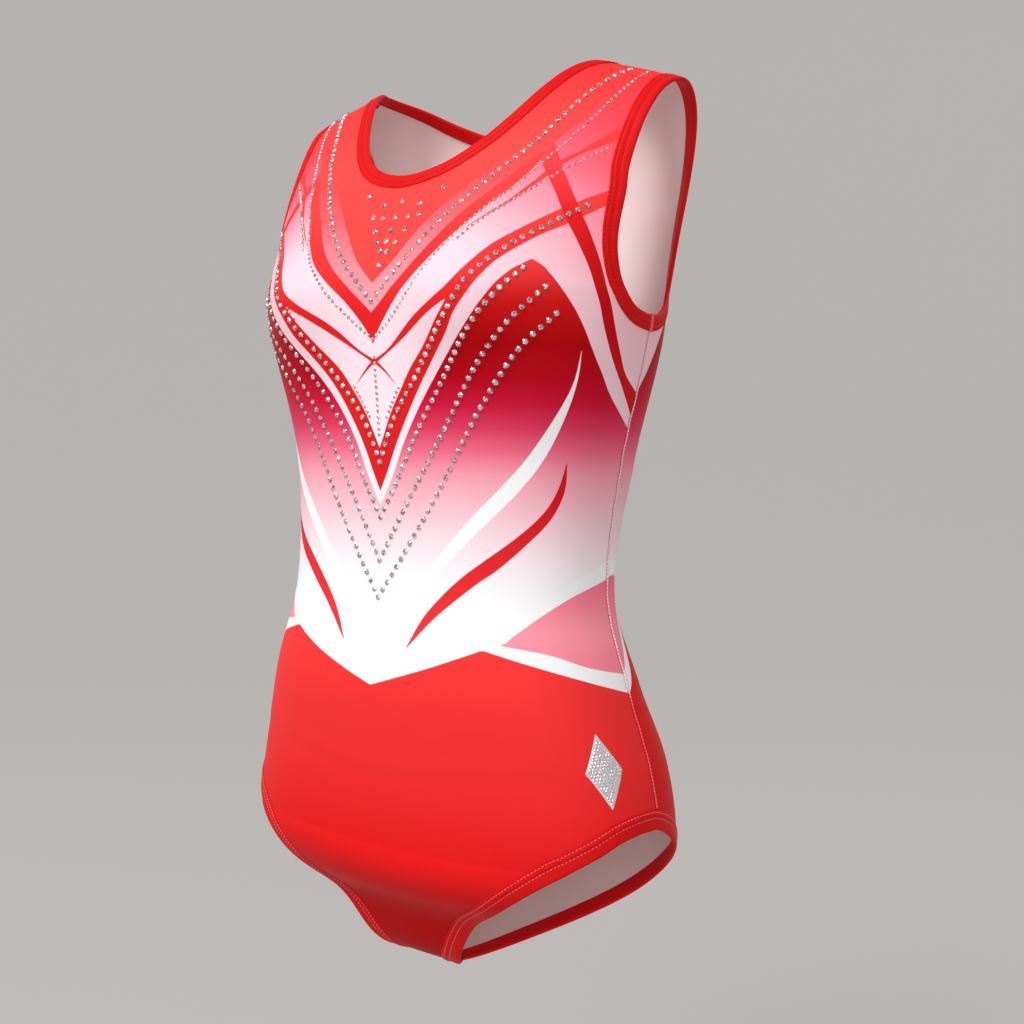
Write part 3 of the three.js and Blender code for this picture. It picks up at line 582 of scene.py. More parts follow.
def front_fields(angle, level):
    """Every field of the front print: distances in mm from the outlines of its shapes."""
    x, y = 2 * np.abs(angle), level
    thin, thin_half = stroke(x, y, THIN_BAND, THIN_HALF)
    tail, tail_half = stroke(x, y, TAIL, [(0, 1.1), (1, 0.02)])
    before_start = nearest(x, y, dense(THIN_BAND))[2] < 1e-4
    white_drop, white_half = drop(x, y, WHITE_DROP, 10)
    red_drop, red_half = drop(x, y, RED_DROP, 9)
    return {
        "yoke": over_line(x, y, YOKE_LINE),
        "stripe": over_line(x, y, STRIPE_LINE),
        "band": over_line(x, y, BAND_LINE),
        "chevron_top": -over_line(x, y, CHEVRON_TOP),
        "chevron_under": over_line(x, y, CHEVRON_UNDER),
        "diamond": within(x, y, DIAMOND, corners=(5, 11)),
        "cross": within(x, y, CROSS_LEFT + CROSS_RIGHT[::-1], corners=(10, 11, 22)),
        "leaf": within(x, y, [(-4, 213)] + LEAF + [(99, 60), (-4, 60)], corners=(1, 11, 12, 13, 22, 23, 24)),
        "white_drop": white_drop,
        "white_drop_half": white_half,
        "red_drop": red_drop,
        "red_drop_half": red_half,
        "thin": np.where(before_start, 9, thin),
        "thin_half": thin_half,
        "tail": np.where(nearest(x, y, dense(TAIL))[2] > 0.999, 9, tail),
        "tail_half": tail_half,
        "waist_top": -over_line(x, y, WAIST_TOP),
        "waist_kite": np.minimum(-over_line(x, y, WAIST_KITE_TOP), over_line(x, y, WAIST_KITE_UNDER)),
        "briefs": np.minimum(-over_line(x, y, BRIEFS_MIDDLE), -over_line(x, y, BRIEFS_SIDE)),
        "round": np.abs(angle),
        "height": level,
    }


def back_fields(angle, level):
    """Every field of the back print, with angles counted from the centre back."""
    from_back = 180 - np.abs(np.where(angle > 180, angle - 360, angle))
    x, y = 2 * from_back, level
    return {
        "yoke": over_line(x, y, BACK_YOKE),
        "stripe": over_line(x, y, [(a, v - 17) for a, v in BACK_YOKE]),
        "band": over_line(x, y, [(a, v - 36 + 0.1 * (v - 398)) for a, v in BACK_YOKE]),
        "leaf": -over_line(x, y, BACK_LEAF),
        "waist_top": -over_line(x, y, BACK_WAIST_TOP),
        "waist_kite": within(x, y, BACK_WAIST_KITE, corners=(0, 2, 6)),
        "briefs": np.minimum(-over_line(x, y, BACK_BRIEFS_PEAK), -over_line(x, y, BACK_BRIEFS_SIDE)),
        "round": from_back,
        "height": level,
    }


# ---- materials ------------------------------------------------------------------------------------
PATTERN_WIDE, PATTERN_HIGH = 720, 750  # the mm that one unit of the flat measure spans


class Nodes:
    """A short way to write a node tree: each call adds a node, sets its values and joins its inputs."""

    def __init__(self, tree):
        self.tree = tree

    def give(self, node, values):
        """Each input of a node is joined to a socket, or set; a colour of three parts is made opaque."""
        for key, value in values.items():
            if isinstance(value, bpy.types.NodeSocket):
                self.tree.links.new(value, node.inputs[key])
            elif node.inputs[key].type == "RGBA":
                node.inputs[key].default_value = (*value[:3], 1)
            else:
                node.inputs[key].default_value = value
        return node

    def add(self, kind, values=None, **settings):
        node = self.tree.nodes.new(kind)
        for key, value in settings.items():
            setattr(node, key, value)
        return self.give(node, values or {})

    def maths(self, operation, a, b=0.0, clamp=False):
        return self.add("ShaderNodeMath", {0: a, 1: b}, operation=operation, use_clamp=clamp).outputs[0]

    def field(self, name):
        return self.add("ShaderNodeAttribute", attribute_name=name, attribute_type="GEOMETRY").outputs["Fac"]

    def edge(self, distance, soft=0.3):
        """0 outside and 1 inside a printed edge, which blurs over this many mm either way."""
        ramp = self.add(
            "ShaderNodeMapRange", {0: distance, 1: -soft, 2: soft, 3: 0.0, 4: 1.0},
            interpolation_type="SMOOTHSTEP",
        )
        return ramp.outputs[0]

    def mix(self, share, under, over):
        node = self.add("ShaderNodeMix", {"Factor": share}, data_type="RGBA")
        return self.give(node, {6: under, 7: over}).outputs[2]

    def stroke(self, name):
        """How far inside a printed stroke: its half width less the distance from its middle line."""
        return self.maths("SUBTRACT", self.field(name + "_half"), self.maths("ABSOLUTE", self.field(name)))

    def shades(self, where, low, high, stops):
        """A colour ramp over a field from low to high, with stops of (field value, colour)."""
        share = self.add("ShaderNodeMapRange", {0: where, 1: low, 2: high, 3: 0.0, 4: 1.0}).outputs[0]
        ramp = self.add("ShaderNodeValToRGB", {0: share})
        bands = ramp.color_ramp
        bands.interpolation = "EASE" if len(stops) < 3 else "LINEAR"
        while len(bands.elements) < len(stops):
            bands.elements.new(0.5)
        for element, (at, colour) in zip(bands.elements, stops):
            element.position = (at - low) / (high - low)
        for element, (at, colour) in zip(bands.elements, stops):
            element.color = (*colour, 1)
        return ramp.outputs[0]


def new_group(name, inputs, outputs):
    """An empty shader node group with named inputs (name, default) and outputs (name, kind)."""
    tree = bpy.data.node_groups.new(name, "ShaderNodeTree")
    for label, kind, default in inputs:
        socket = tree.interface.new_socket(label, in_out="INPUT", socket_type=kind)
        if default is not None:
            socket.default_value = default
    for label, kind in outputs:
        tree.interface.new_socket(label, in_out="OUTPUT", socket_type=kind)
    n = Nodes(tree)
    return tree, n, n.add("NodeGroupInput"), n.add("NodeGroupOutput")


def fine_knit_group():
    """Fine warp knit: upright wales with short slanted loops, read from a place in mm, with a soft
    unevenness. Puts out the loop height and the colour, with painted shade on the loops, their tops lighter
    and their hollows darker, and a random unevenness of tone."""
    tree, n, given, put = new_group(
        "fine_knit",
        [("Place", "NodeSocketVector", None), ("Colour", "NodeSocketColor", (0.8, 0.1, 0.1, 1)),
         ("Loop", "NodeSocketFloat", 0.42),
         ("Grain", "NodeSocketFloat", 0.05)],
        [("Colour", "NodeSocketColor"), ("Height", "NodeSocketFloat"), ("Uneven", "NodeSocketFloat")],
    )
    parts = n.add("ShaderNodeSeparateXYZ", {0: given.outputs["Place"]})
    turn = n.maths("DIVIDE", 2 * math.pi, given.outputs["Loop"])
    wale = n.maths("SINE", n.maths("MULTIPLY", parts.outputs[0], turn))
    slant = n.maths("MULTIPLY", n.maths("ABSOLUTE", wale), 0.9)
    loop = n.maths(
        "SINE", n.maths("ADD", n.maths("MULTIPLY", parts.outputs[1], n.maths("MULTIPLY", turn, 0.8)), slant),
    )
    height = n.maths("ADD", n.maths("MULTIPLY", wale, 0.5), n.maths("MULTIPLY", loop, 0.35))
    speckle = n.add(
        "ShaderNodeTexNoise",
        {"Vector": given.outputs["Place"], "Scale": 1.1, "Detail": 3.0, "Roughness": 0.65},
    )
    cloud = n.add("ShaderNodeTexNoise", {"Vector": given.outputs["Place"], "Scale": 0.03, "Detail": 2.0})
    uneven = n.maths("SUBTRACT", speckle.outputs["Fac"], 0.5)
    loop_shade_and_tone = n.maths(
        "MULTIPLY",
        n.maths(
            "ADD", n.maths("MULTIPLY", height, 0.3),
            n.maths("ADD", uneven, n.maths("SUBTRACT", cloud.outputs["Fac"], 0.5)),
        ),
        given.outputs["Grain"],
    )
    lit = n.add(
        "ShaderNodeHueSaturation", {"Value": n.maths("ADD", 1.0, loop_shade_and_tone), "Color": given.outputs["Colour"]},
    )
    tree.links.new(lit.outputs[0], put.inputs["Colour"])
    tree.links.new(height, put.inputs["Height"])
    tree.links.new(uneven, put.inputs["Uneven"])
    return tree


def thread_twist_group():
    """Twisted thread: slanting bands across a place in mm, as a height and a painted shade that lightens and
    darkens the colour along the bands.
    """
    tree, n, given, put = new_group(
        "thread_twist",
        [
            ("Place", "NodeSocketVector", None), ("Colour", "NodeSocketColor", (0.8, 0.1, 0.1, 1)),
            ("Pitch", "NodeSocketFloat", 0.35),
        ],
        [("Colour", "NodeSocketColor"), ("Height", "NodeSocketFloat")],
    )
    parts = n.add("ShaderNodeSeparateXYZ", {0: given.outputs["Place"]})
    lean = n.maths(
        "ADD", n.maths("ADD", parts.outputs[0], parts.outputs[1]), n.maths("MULTIPLY", parts.outputs[2], 1.4),
    )
    wave = n.maths("SINE", n.maths("MULTIPLY", lean, n.maths("DIVIDE", 2 * math.pi, given.outputs["Pitch"])))
    shade = n.add(
        "ShaderNodeHueSaturation",
        {"Value": n.maths("ADD", 1.0, n.maths("MULTIPLY", wave, 0.07)), "Color": given.outputs["Colour"]},
    )
    tree.links.new(shade.outputs[0], put.inputs["Colour"])
    tree.links.new(wave, put.inputs["Height"])
    return tree


def group(name, build):
    return bpy.data.node_groups.get(name) or build()


def fresh_material(name):
    """A material with its nodes cleared: the node helper, and the Principled shader joined to the output."""
    material = bpy.data.materials.new("leotard_" + name)
    material.use_nodes = True
    material.node_tree.nodes.clear()
    n = Nodes(material.node_tree)
    shader = n.add("ShaderNodeBsdfPrincipled")
    out = n.add("ShaderNodeOutputMaterial")
    n.tree.links.new(shader.outputs[0], out.inputs["Surface"])
    return material, n, shader


def place_in_mm(n, from_uv=True):
    """Object coordinates, or the piece's own flat measure, in mm."""
    where = n.add("ShaderNodeTexCoord")
    source = where.outputs["UV"] if from_uv else where.outputs["Object"]
    scale = (PATTERN_WIDE, PATTERN_HIGH, 1) if from_uv else (1000, 1000, 1000)
    return n.add("ShaderNodeMapping", {"Vector": source, "Scale": scale}).outputs[0]


def knit_surface(n, shader, colour, place, loop=0.42, grain=0.06, depth=0.012, rough=0.42):
    """Feed a colour through the fine knit into the shader: colour, roughness and bump."""
    knit = n.add("ShaderNodeGroup", node_tree=group("fine_knit", fine_knit_group))
    n.give(knit, {"Place": place, "Colour": colour, "Loop": loop, "Grain": grain})
    uneven = n.maths("ADD", rough, n.maths("MULTIPLY", knit.outputs["Uneven"], 0.12))
    bump = n.add(
        "ShaderNodeBump", {"Height": knit.outputs["Height"], "Strength": 0.35, "Distance": depth / 1000},
    )
    n.give(shader, {"Base Color": knit.outputs["Colour"], "Roughness": uneven, "Normal": bump.outputs[0]})


def printed_material(name, side, p, through=1.0):
    """Printed stretch satin: the shapes are laid over one another by their distance fields. On the
    reverse only a trace of the print shows through the unprinted cloth."""
    material, n, shader = fresh_material(name)
    height, around = n.field("height"), n.field("round")
    red, coral = tuple(p.red), tuple(p.coral)
    pale, white = tuple(p.pale_pink), tuple(p.white)
    up = n.maths("ADD", height, n.maths("MULTIPLY", n.maths("SUBTRACT", around, 30.0), 0.8))
    colour = n.shades(up, 200, 600, [
        (220, tone(244, 236, 241)), (300, pale), (368, tone(248, 196, 208)), (408, tone(247, 146, 163)),
        (448, tone(244, 96, 114)), (495, tone(240, 68, 80)), (570, tone(234, 48, 54)),
    ])
    fade = n.shades(height, 300, 600, [
        (335, tone(238, 156, 168)), (362, tone(241, 128, 138)), (392, tone(240, 92, 98)),
        (430, tone(240, 72, 72)), (560, tone(238, 52, 52)),
    ])
    body_red = n.shades(
        height, 250, 600, [(255, red), (330, tone(226, 32, 32)), (400, coral), (590, tone(240, 54, 52))],
    )
    yoke, stripe, band = n.field("yoke"), n.field("stripe"), n.field("band")
    if side == "front":
        band = n.maths("MINIMUM", band, n.maths("SUBTRACT", 447.0, height))
    colour = n.mix(n.edge(band), colour, body_red)
    colour = n.mix(n.edge(stripe), colour, fade)
    if side == "front":
        colour = n.mix(n.edge(n.stroke("thin")), colour, body_red)
        colour = n.mix(n.edge(stripe), colour, fade)
        top, under = n.field("chevron_top"), n.field("chevron_under")
        chevron = n.maths(
            "MINIMUM", n.maths("MINIMUM", top, under), n.maths("SUBTRACT", 0.0, n.field("diamond")),
        )
        colour = n.mix(n.edge(chevron), colour, body_red)
        colour = n.mix(n.edge(n.stroke("tail"), 0.25), colour, red)
        colour = n.mix(
            n.edge(n.field("cross")), colour,
            n.shades(
                height, 250, 480,
                [
                    (270, tone(212, 18, 22)), (330, tone(196, 12, 16)), (392, tone(216, 26, 30)),
                    (455, tone(240, 68, 74)),
                ],
            ),
        )
    colour = n.mix(
        n.edge(yoke), colour,
        n.shades(
            height, 340, 600, [(350, tone(239, 66, 63)), (450, tone(239, 70, 67)), (590, tone(230, 42, 40))],
        ),
    )
    # The leaf's ombre is print, crimson through pink to white; its darkest reds, round levels 292 to 312, are
    # deepened with painted shade, the shade under the bust on the front.
    leaf_ombre_and_shade = n.shades(height, 150, 365, [
        (158, white), (180, tone(249, 235, 241)), (200, tone(249, 213, 223)), (219, tone(248, 184, 197)),
        (234, tone(245, 157, 175)), (249, tone(236, 104, 134)), (262, tone(222, 60, 96)),
        (276, tone(208, 22, 60)), (292, tone(190, 8, 28)), (312, tone(178, 4, 10)), (336, tone(206, 20, 22)),
        (360, tone(234, 58, 60)),
    ])
    colour = n.mix(n.edge(n.field("leaf")), colour, leaf_ombre_and_shade)
    if side == "front":
        colour = n.mix(n.edge(n.stroke("white_drop")), colour, white)
        colour = n.mix(
            n.edge(n.stroke("red_drop")), colour,
            n.shades(height, 120, 250, [(126, tone(236, 52, 56)), (240, tone(214, 22, 28))]),
        )
    colour = n.mix(n.edge(n.field("waist_top")), colour, white)
    colour = n.mix(
        n.edge(n.field("waist_kite")), colour,
        n.shades(
            height, 100, 172,
            [(112, tone(252, 132, 152)), (140, tone(255, 152, 168)), (170, tone(250, 118, 142))],
        ),
    )
    # Painted shade: the briefs' red darkens towards the crotch, where the cloth turns downwards, and the back's
    # red is darker again, as the side turned from the lamps.
    if side == "back":
        briefs = n.shades(
            height, -140, 130, [(-135, tone(176, 6, 8)), (0, tone(220, 18, 20)), (130, tone(232, 26, 28))],
        )
    else:
        briefs = n.shades(
            height, -140, 130,
            [
                (-135, tone(176, 6, 8)), (-60, tone(204, 12, 14)), (0, tone(230, 28, 30)),
                (60, tone(242, 48, 50)), (130, tone(247, 56, 56)),
            ],
        )
    colour = n.mix(n.edge(n.field("briefs")), colour, briefs)
    if through < 1:
        colour = n.mix(through, tuple(p.reverse), colour)
    knit_surface(n, shader, colour, place_in_mm(n), rough=p.roughness if through == 1 else 0.6)
    shader.inputs["Specular IOR Level"].default_value = 0.05
    return material


def plain_knit_material(name, colour, rough=0.5, grain=0.06, loop=0.42, depth=0.012, sheen=0.0, from_uv=False):
    """One-colour knit cloth."""
    material, n, shader = fresh_material(name)
    knit_surface(n, shader, colour, place_in_mm(n, from_uv), loop, grain, depth, rough)
    n.give(shader, {"Specular IOR Level": 0.06, "Sheen Weight": sheen, "Sheen Roughness": 0.4})
    return material


def thread_material(name, colour, low_colour=None):
    """Twisted sewing thread, of another colour below the waist if one is given."""
    material, n, shader = fresh_material(name)
    twist = n.add("ShaderNodeGroup", node_tree=group("thread_twist", thread_twist_group))
    place = place_in_mm(n, False)
    n.give(twist, {"Place": place, "Colour": colour})
    if low_colour:
        hip = float(laid(np.array([90.0]), np.array([100.0]), 0.0)[0, 2]) * 1000
        height = n.add("ShaderNodeSeparateXYZ", {0: place}).outputs[2]
        blend = n.shades(height, hip - 100, hip + 100, [(hip - 6, low_colour), (hip + 6, colour)])
        n.give(twist, {"Colour": blend})
    bump = n.add("ShaderNodeBump", {"Height": twist.outputs["Height"], "Strength": 0.4, "Distance": 0.00005})
    n.give(shader, {
        "Base Color": twist.outputs["Colour"], "Normal": bump.outputs[0], "Roughness": 0.6,
        "Specular IOR Level": 0.12,
    })
    return material


def elastic_material():
    """Braided elastic: coarse ribs."""
    return plain_knit_material("braided_elastic", tone(240, 238, 230), 0.7, 0.12, 0.9, 0.08, 0.05)


def stone_material(name, brightest, lighter):
    """Foil-backed cut stones with painted reflections: each face of a stone has a random painted shade,
    from a dark reflection to a bright glint.
    """
    material, n, shader = fresh_material(name)
    facet_glint = n.maths("ADD", lighter, n.maths("MULTIPLY", n.field("facet_glint"), 1 - lighter))
    colour = n.shades(facet_glint, 0, 1, [
        (0.0, tone(66, 44, 42)), (0.28, tone(134, 110, 108)), (0.55, tone(214, 200, 202)), (1.0, brightest),
    ])
    speck = n.add("ShaderNodeTexNoise", {"Vector": place_in_mm(n, False), "Scale": 1.7, "Detail": 1.0})
    tint = n.mix(n.maths("MULTIPLY", speck.outputs["Fac"], 0.35), colour, tone(236, 214, 216))
    rough = n.maths("ADD", 0.05, n.maths("MULTIPLY", speck.outputs["Fac"], 0.08))
    n.give(shader, {
        "Base Color": tint, "Roughness": rough, "Metallic": 0.7, "Coat Weight": 0.6, "Coat Roughness": 0.03,
    })
    return material


def silver_material():
    """Silver transfer film with a fine crinkle."""
    material, n, shader = fresh_material("silver_backing")
    speck = n.add("ShaderNodeTexNoise", {"Vector": place_in_mm(n, False), "Scale": 2.2, "Detail": 2.0})
    shade = n.mix(speck.outputs["Fac"], tone(238, 238, 240), tone(214, 214, 218))
    rough = n.maths("ADD", 0.25, n.maths("MULTIPLY", speck.outputs["Fac"], 0.2))
    n.give(shader, {"Base Color": shade, "Roughness": rough, "Metallic": 0.25})
    return material


def backdrop_material(p):
    """Plain warm grey paper with a trace of mottling."""
    material, n, shader = fresh_material("studio_paper")
    cloud = n.add("ShaderNodeTexNoise", {"Vector": place_in_mm(n, False), "Scale": 0.004, "Detail": 2.0})
    base = tuple(p.paper)
    shade = n.mix(n.maths("MULTIPLY", cloud.outputs["Fac"], 0.04), base, tuple(c * 0.9 for c in base))
    dim = n.mix(0.75, shade, (0.0, 0.0, 0.0))
    n.give(shader, {
        "Base Color": dim, "Emission Color": shade, "Emission Strength": 0.8, "Roughness": 1.0,
        "Specular IOR Level": 0.0,
    })
    return material


def material(key):
    """The material of this key, made the first time it is asked for."""
    found = bpy.data.materials.get("leotard_" + key)
    if found:
        return found
    p = bpy.context.scene.leotard_finish
    makers = {
        "front_print": lambda: printed_material("front_print", "front", p),
        "back_print": lambda: printed_material("back_print", "back", p),
        "front_reverse": lambda: printed_material("front_reverse", "front", p, 0.1),
        "back_reverse": lambda: printed_material("back_reverse", "back", p, 0.1),
        "binding_red": lambda: plain_knit_material("binding_red", tuple(p.binding), p.roughness),
        "red_thread": lambda: thread_material("red_thread", tuple(p.thread)),
        "hem_thread": lambda: thread_material("hem_thread", tuple(p.hem_thread)),
        "pale_thread": lambda: thread_material("pale_thread", tuple(p.pale_thread), tuple(p.hem_thread)),
        "lining_cloth": lambda: plain_knit_material(
            "lining_cloth", tone(238, 228, 224), 0.75, 0.1, 0.7, 0.03, 0.3,
        ),
        "braided_elastic": elastic_material,
        "label_satin": lambda: plain_knit_material(
            "label_satin", tone(246, 245, 242), 0.35, 0.05, 0.3, 0.01, 0.1,
        ),
        "foiled_stone": lambda: stone_material("foiled_stone", tuple(p.stone), 0.0),
        "clear_stone": lambda: stone_material("clear_stone", tuple(p.stone), 0.45),
        "silver_backing": silver_material,
        "studio_paper": lambda: backdrop_material(p),
    }
    return makers[key]()


# ---- settings -------------------------------------------------------------------------------------
def colour_setting(name, description, default):
    return bpy.props.FloatVectorProperty(
        name=name, description=description, default=default, subtype="COLOR", min=0, max=1,
    )


def size_setting(name, description, default, low=0.0, high=50.0):
    return bpy.props.FloatProperty(
        name=name, description=description + ", in drawn millimetres", default=default, min=low, max=high,
    )


class LeotardFinish(bpy.types.PropertyGroup):
    """Colours and gloss."""

    red: colour_setting("Red", "Deep red of the print", tone(222, 30, 32))
    coral: colour_setting("Coral", "Lighter red of the print on the chest", tone(238, 60, 58))
    pale_pink: colour_setting("Pale pink", "Palest pink of the chest", tone(250, 220, 230))
    white: colour_setting("White", "White of the print", tone(248, 249, 251))
    binding: colour_setting("Binding", "Cloth of the bindings and hems", tone(212, 20, 22))
    thread: colour_setting("Thread", "Red sewing thread of the bindings and seams", tone(204, 22, 26))
    hem_thread: colour_setting("Hem thread", "Lighter sewing thread of the leg hems", tone(246, 112, 116))
    pale_thread: colour_setting("Pale thread", "Thread of the side seams", tone(252, 214, 220))
    reverse: colour_setting("Reverse", "Unprinted inner face of the cloth", tone(246, 232, 230))
    # The stone colour tops the stones' painted glints.
    stone: colour_setting("Stone", "Brightest facets of the stones", tone(252, 252, 255))
    paper: colour_setting("Paper", "Floor and backdrop", tone(189, 186, 183))
    roughness: bpy.props.FloatProperty(
        name="Roughness", description="How matt the satin cloth is", default=0.46, min=0.1, max=1,
        subtype="FACTOR",
    )


class LeotardCut(bpy.types.PropertyGroup):
    """Sizes of the cloth and its edges."""

    cloth_thick: size_setting("Cloth", "Thickness of the cloth", 0.8, 0.2, 2)
    binding_width: size_setting("Binding width", "Width of the neck and armhole bindings", 9.5)
    hem_width: size_setting("Hem width", "Width of the leg hems", 11.0)
    needle_inset: size_setting("First needle row", "Edge of a binding to the nearer row of stitches", 5.0)
    needle_gap: size_setting("Needle gap", "Distance between the two rows of stitches", 3.6)
    stitch_pitch: size_setting("Stitch pitch", "Length of one stitch with its gap", 2.5, 1, 8)
    thread_thick: size_setting("Thread", "Thickness of the sewing thread", 0.62, 0.1, 2)


class LeotardStones(bpy.types.PropertyGroup):
    """Sizes and spacing of the stones."""

    large: size_setting("Large stone", "Diameter of the large stones", 3.8)
    small: size_setting("Small stone", "Diameter of the small stones", 2.3)
    large_pitch: size_setting("Large pitch", "Spacing of the large stones", 6.0, 2)
    small_pitch: size_setting("Small pitch", "Spacing of the small stones", 3.7, 1)


class LeotardStage(bpy.types.PropertyGroup):
    """Camera, floor and lights."""

    lens: bpy.props.FloatProperty(
        name="Lens", description="Focal length of the camera", default=46.7, min=10, max=300, unit="CAMERA",
    )
    turn: bpy.props.FloatProperty(
        name="Turn", description="How far round from the front the camera stands", default=math.radians(35.55),
        subtype="ANGLE",
    )
    pitch: bpy.props.FloatProperty(
        name="Pitch", description="How far above level the camera stands", default=math.radians(4.07),
        subtype="ANGLE",
    )
    roll: bpy.props.FloatProperty(
        name="Roll", description="Tilt of the camera", default=math.radians(1.06), subtype="ANGLE",
    )
    distance: bpy.props.FloatProperty(
        name="Distance", description="Camera to the point it looks at", default=0.8669, unit="LENGTH",
    )
    power: bpy.props.FloatProperty(
        name="Light", description="Strength of all the lights together", default=1.0, min=0, max=10,
    )


# ---- the cloth ------------------------------------------------------------------------------------
ROWS = {"leg": 105, "side": 75, "arm": 110}
COLUMNS, NECK_ROWS = 76, 80
CLOTH_START = 4.7  # the cloth begins this far in from a bound edge, beyond the elastic
HIP_LEVEL, UNDERARM_LEVEL = 12.0, 332.0


def resampled(places, count):
    """A line of places drawn again with count + 1 of them."""
    at = np.linspace(0, len(places) - 1, count + 1)
    k = np.arange(len(places))
    return np.stack([np.interp(at, k, places[:, 0]), np.interp(at, k, places[:, 1])], 1)


def panel_lines(side):
    """The outer line of a half panel, from the crotch up to the shoulder, and its inner line up the
    centre and round the neck, as places, and the row at which the neck begins."""
    leg_p, leg_s = EDGES[f"leg_{side}"]
    arm_p, arm_s = EDGES[f"arm_{side}"]
    neck_p, neck_s = EDGES[f"neck_{side}"]
    if side == "front":
        leg_p, leg_s, arm_p, arm_s = leg_p[::-1], leg_s[::-1], arm_p[::-1], arm_s[::-1]
    else:
        neck_p, neck_s = neck_p[::-1], neck_s[::-1]
    leg = resampled(leg_p + leg_s * CLOTH_START, ROWS["leg"])
    arm = resampled(arm_p + arm_s * CLOTH_START, ROWS["arm"])
    middle = np.linspace(0, 1, ROWS["side"] + 1)[1:-1, None]
    seam = leg[-1] * (1 - middle) + arm[0] * middle
    outer = np.concatenate([leg, seam, arm])
    neck = resampled(neck_p + neck_s * CLOTH_START, NECK_ROWS)
    below = len(outer) - 1 - NECK_ROWS
    centre = 0.0 if side == "front" else 180.0
    hip, bust = ROWS["leg"], ROWS["leg"] + ROWS["side"]
    levels = np.interp(np.arange(below), [0, hip, bust, below], [CROTCH, HIP_LEVEL, UNDERARM_LEVEL, neck[0, 1]])
    inner = np.concatenate([np.stack([np.full(below, centre), levels], 1), neck])
    return outer, inner, below


def panel_grid(side):
    """Both halves of a panel as one grid of places, welded up the centre below the neck, with its
    quads. Columns are spread evenly, and a little closer near the outer edge."""
    outer, inner, below = panel_lines(side)
    share = np.linspace(0, 1, COLUMNS + 1)
    share = share - 0.1 * np.sin(2 * math.pi * share) / (2 * math.pi)
    left = outer[:, None] * (1 - share[None, :, None]) + inner[:, None] * share[None, :, None]
    left[..., 1] = np.clip(left[..., 1], CROTCH, SHOULDER)
    rows, columns = left.shape[:2]
    right = left.copy()
    right[..., 0] = -left[..., 0] if side == "front" else 360 - left[..., 0]
    index = np.arange(rows * columns).reshape(rows, columns)
    other = index + rows * columns
    other[: below + 1, -1] = index[: below + 1, -1]
    quads = []
    for grid, turned in ((index, False), (other, True)):
        q = np.stack([grid[:-1, :-1], grid[:-1, 1:], grid[1:, 1:], grid[1:, :-1]], -1).reshape(-1, 4)
        quads.append(q[:, ::-1] if turned else q)
    quads = np.concatenate(quads)
    places = np.concatenate([left.reshape(-1, 2), right.reshape(-1, 2)])
    used, renamed = np.unique(quads, return_inverse=True)
    return places[used], renamed.reshape(-1, 4)


def cloth_uv(angle, level):
    """The flat measure of places on the cloth, as a share of the pattern's width and height."""
    return np.stack([(angle + 180) / 540, (level + 150) / PATTERN_HIGH], 1)


def build_panel(side):
    """A printed panel: the grid laid on the form as a closed sheet, whose edges dip at the side seams."""
    p = bpy.context.scene.leotard_cut
    places, quads = panel_grid(side)
    angle, level = places[:, 0], places[:, 1]
    off_seam = np.abs(np.abs(np.where(angle > 180, angle - 360, angle)) - 90) * 2.2
    dip = 0.35 * np.exp(-((off_seam / 1.4) ** 2))
    outer = laid(angle, level, -dip)
    inner = laid(angle, level, -p.cloth_thick - 0.4 * dip)
    points, faces, part = shell(outer, inner, quads)
    fields = (front_fields if side == "front" else back_fields)(angle, level)
    fields = {key: np.concatenate([v, v]) for key, v in fields.items()}
    uv = cloth_uv(angle, level)
    piece = new_piece(
        f"{side}_panel_cloth", points, faces, [f"{side}_panel"],
        [material(f"{side}_print"), material(f"{side}_reverse")], np.where(part == 0, 0, 1),
        uv=np.concatenate([uv, uv]), fields=fields,
    )
    return piece


# ---- bands, hems and stitches -----------------------------------------------------------------------
def band_profile(width, first, second, hem):
    """The section of a folded band as (distance from the edge, height): up over the two sunk needle
    rows with a ridge between them, round the fold, back along the inside, and home under the cloth.
    A hem's outer face runs out level with the panel, a binding's ends in a step."""
    if hem:
        start = [(width + 1.6, 0.03), (width + 0.9, 0.16), (second + 0.75, 0.5)]
        crown = [
            (second, 0.3), (second - 0.8, 0.78), ((first + second) / 2, 0.98), (first + 0.8, 0.78),
            (first, 0.32),
        ]
        run = [(first - 0.9, 0.62), (first - 2.4, 0.74), (2.6, 0.78)]
    else:
        start = [(width, 0.13), (width, 0.42), (width - 0.22, 0.66), (second + 0.35, 0.74)]
        crown = [
            (second, 0.5), (second - 0.8, 0.88), ((first + second) / 2, 1.02), (first + 0.8, 0.88),
            (first, 0.5),
        ]
        run = [(first - 0.9, 0.88), (first - 2.2, 1.02), (1.8, 1.04)]
    fold = [
        (0.9, 1.0), (0.25, 0.82), (-0.25, 0.46), (-0.52, 0), (-0.58, -0.45), (-0.5, -0.95), (-0.2, -1.4),
        (0.35, -1.7), (1.1, -1.84),
    ]
    inside = [(first, -1.7), (second, -1.72), (width - 0.4, -1.66), (width, -1.45), (width, -0.93)]
    home = [
        (width - 1.2, -0.92), (0.9, -0.92), (0.35, -0.8), (0.18, -0.42), (0.35, -0.04), (0.9, 0.08),
        (width - 1.2, 0.09),
    ]
    if hem:
        home.append((width + 0.4, 0.0))
    return np.array(start + crown + run + fold + inside + home)


def band_surface(kind, profile, mirror):
    """A profile carried right round an edge: places step in from it and rise along the normal."""
    places, steps = closed_edge(kind)
    at = places[:, None] + steps[:, None] * profile[None, :, :1]
    points = laid(at[..., 0], at[..., 1], np.broadcast_to(profile[:, 1], at.shape[:2]))
    if mirror:
        points = points * [-1, 1, 1]
    rows, columns = points.shape[:2]
    points = points.reshape(-1, 3)
    faces = facing_out(points, grid_faces(rows, columns, True, True))
    run = run_along(form(places[:, 0], places[:, 1]))
    around = run_along(profile)
    u, v = np.meshgrid(run / PATTERN_WIDE, around / PATTERN_HIGH, indexing="ij")
    return points, faces, np.stack([u.ravel(), v.ravel()], 1)


